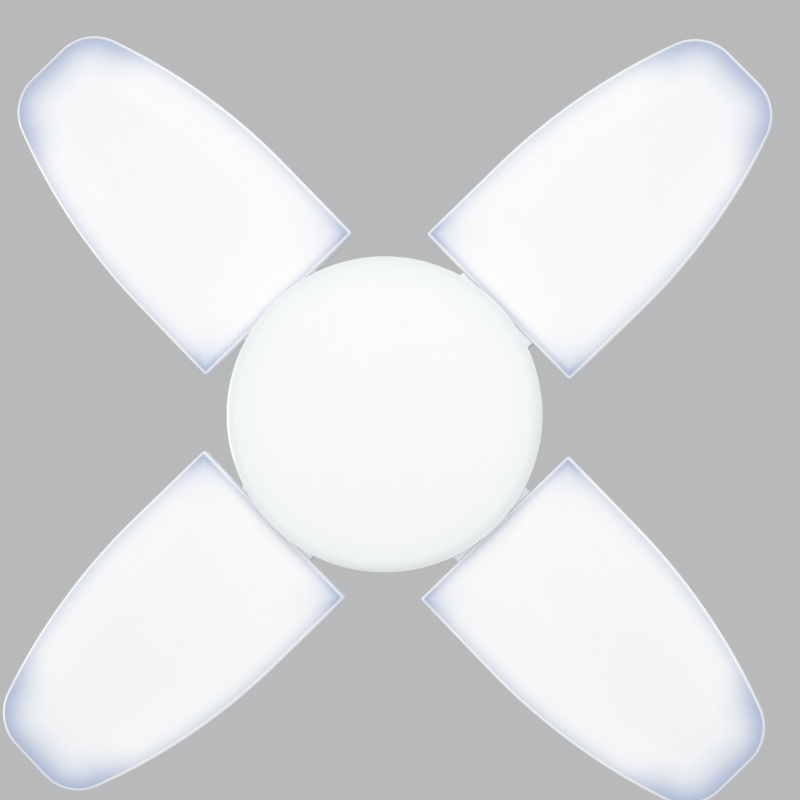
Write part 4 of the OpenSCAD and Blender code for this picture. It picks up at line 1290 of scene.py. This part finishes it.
def set_floor():
    paint = Paint("floor", {"Roughness": 0.9, "Specular IOR Level": 0.1})
    paint.set({"Base Color": paint.blend(paint.noise(60, 2), FLOOR_TONE, shaded(FLOOR_TONE, 0.99))})
    mesh = bpy.data.meshes.new("floor")
    corners = ((-1, -1), (1, -1), (1, 1), (-1, 1))
    mesh.from_pydata([(x * FLOOR_HALF, y * FLOOR_HALF, FLOOR_Z) for x, y in corners], [], [(0, 1, 2, 3)])
    mesh.materials.append(paint.material)
    new_object("floor", mesh)


bpy.context.scene.view_settings.view_transform = "Standard"
set_camera()
set_world()
set_floor()
set_light("below", (0.35, -0.45, -1.75), 14, 1.6)
set_light("above_left", (-1.7, -1.5, 1.3), 26, 1.4)
set_light("above_right", (2.0, -0.3, 1.6), 16, 1.6)

# ---- Pieces ----


def finish_node(node, paint):
    """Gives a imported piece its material."""
    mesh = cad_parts[node].data
    if not mesh.materials:
        mesh.materials.append(paint.material)
    for i in range(len(mesh.materials)):
        mesh.materials[i] = paint.material


def dress(name, mesh, body, paints, node):
    """Puts a new piece on its body in place of a packed one."""
    for paint in paints:
        mesh.materials.append(paint.material)
    piece = new_object(name, mesh)
    if body:
        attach(piece, body)
    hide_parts(node)
    return piece


# The covers' light pattern is their base colour too: painted shade at the edges, a painted highlight on the
# rim
blade_light = lit_frosted("blade_frosted", (1.22, 1.0, 0.55))
hub_light = lit_frosted("hub_frosted", (2.8, 1.0, 1.2))
white = moulded("white_plastic", (0.78, 0.78, 0.77))
# Blade shells, with painted light glowing on their tabs' undersides
tab_white_painted_light = painted_tab_light(moulded("blade_plastic", (0.78, 0.78, 0.77)))
frame_white = moulded("frame_plastic", (0.76, 0.76, 0.755), rough=0.42)
steel = plated("zinc_steel", (0.62, 0.63, 0.65), (0.5, 0.51, 0.54))
spring_steel = plated("spring_steel", (0.7, 0.71, 0.73), (0.58, 0.59, 0.62), rough=0.22)
tin = plated("tinned_contact", (0.68, 0.68, 0.66), (0.52, 0.52, 0.5), rough=0.36)
aluminium = plated("aluminium", (0.78, 0.79, 0.80), (0.68, 0.69, 0.71), rough=0.38)
copper = plated("copper_wire", (0.7, 0.28, 0.12), (0.45, 0.14, 0.06), rough=0.34)
glass = moulded("black_glass", (0.014, 0.014, 0.016), rough=0.14, grain=900, depth=0.01 * MM)
wire_colours = [moulded("red_insulation", (0.42, 0.02, 0.015), rough=0.38),
                moulded("black_insulation", (0.02, 0.02, 0.022), rough=0.4)]
ferrite = moulded("ferrite", (0.05, 0.05, 0.052), rough=0.6, grain=4000)
fuse_teal = moulded("fuse_lacquer", (0.03, 0.2, 0.23), rough=0.3)
chip_body = moulded("chip_body", (0.42, 0.32, 0.2), rough=0.45)
package_colours = [moulded("black_epoxy", (0.022, 0.022, 0.025), rough=0.5, grain=5000), tin]
led_colours = [moulded("led_body", (0.8, 0.8, 0.78), rough=0.35),
               moulded("phosphor", (0.88, 0.62, 0.12), rough=0.3, grain=6000)]
board = board_metal()

on_hub = (
    ("hub_cover", hub_cover(), [hub_light], "hub_diffuser", "hub_diffuser"),
    ("threaded_shell", cap_shell(), [cap_nickel()], "cap_metal", "cap_shell"),
    ("glass_insulator", cap_insulator(), [glass], "insulator", "cap_insulator"),
    ("end_contact", cap_contact(), [tin], "contact_metal", "cap_contact"),
    ("housing", housing(), [white], "housing_plastic", "driver_housing"),
    ("hub_plate", hub_frame(), [frame_white], "frame_plastic", "hub_frame"),
    ("hub_led_packages", hub_leds(), led_colours, "led_package", "hub_leds"),
    ("hub_clamp_screws", hub_screws(), [steel], "steel_screw", "hub_screws"),
    ("circuit_board", driver_board(), [circuit_board(), tin, chip_body], "driver_board", "driver_board"),
    ("capacitor_can", capacitor(), [capacitor_sleeve(), aluminium], "capacitor_sleeve", "driver_capacitor"),
    ("transformer_core", transformer(), [ferrite, winding_tape()], "transformer_tape", "driver_transformer"),
    ("choke_drum", choke(), [ferrite, copper], "copper_winding", "driver_choke"),
    ("bridge_package", package("driver_bridge", 2), package_colours, "black_moulding", "driver_bridge"),
    ("controller_package", package("driver_controller", 4, back=True), package_colours, "black_moulding",
     "driver_controller"),
    ("fuse", fuse(), [fuse_teal, tin], "fuse_body", "driver_fuse"),
    ("mains_wires", mains_wires(), wire_colours, "wire_insulation", "mains_leads"),
    ("output_wires", output_wires(), wire_colours, "wire_insulation", "output_leads"),
)
for name, mesh, paints, slot, node in on_hub:
    dress(name, mesh, "hub", paints, node)

for_each_blade = (
    ("blade_cover", blade_cover(), "blade_{}", [blade_light], "blade_diffuser", "blade_diffuser_{}"),
    ("blade_shell", blade_shell(), "blade_{}", [tab_white_painted_light], "blade_plastic", "blade_back_{}"),
    ("blade_led_packages", blade_leds(), "blade_{}", led_colours, "led_package", "blade_leds_{}"),
    ("blade_board_screws", board_screws(), "blade_{}", [steel], "steel_screw", "board_screws_{}"),
    ("hinge_pins", hinge_screws(), "hub", [steel], "steel_screw", "hinge_screws_{}"),
    ("hinge_washers", friction_washers(), "hub", [spring_steel], "washer_steel", "friction_washers_{}"),
    ("hinge_wires", hinge_wires(), None, wire_colours, "wire_insulation", "blade_leads_{}"),
)
for name, mesh, body, paints, slot, node in for_each_blade:
    for n in BLADES:
        piece = dress(f"{name}_{n}", for_blade(mesh, n), body and body.format(n), paints,
                      node.format(n))
        if not body:
            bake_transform(piece)

finish_node("hub_heat_spreader", aluminium)
for node in ("hub_led_board", *(f"blade_board_{n}" for n in BLADES)):
    finish_node(node, board)
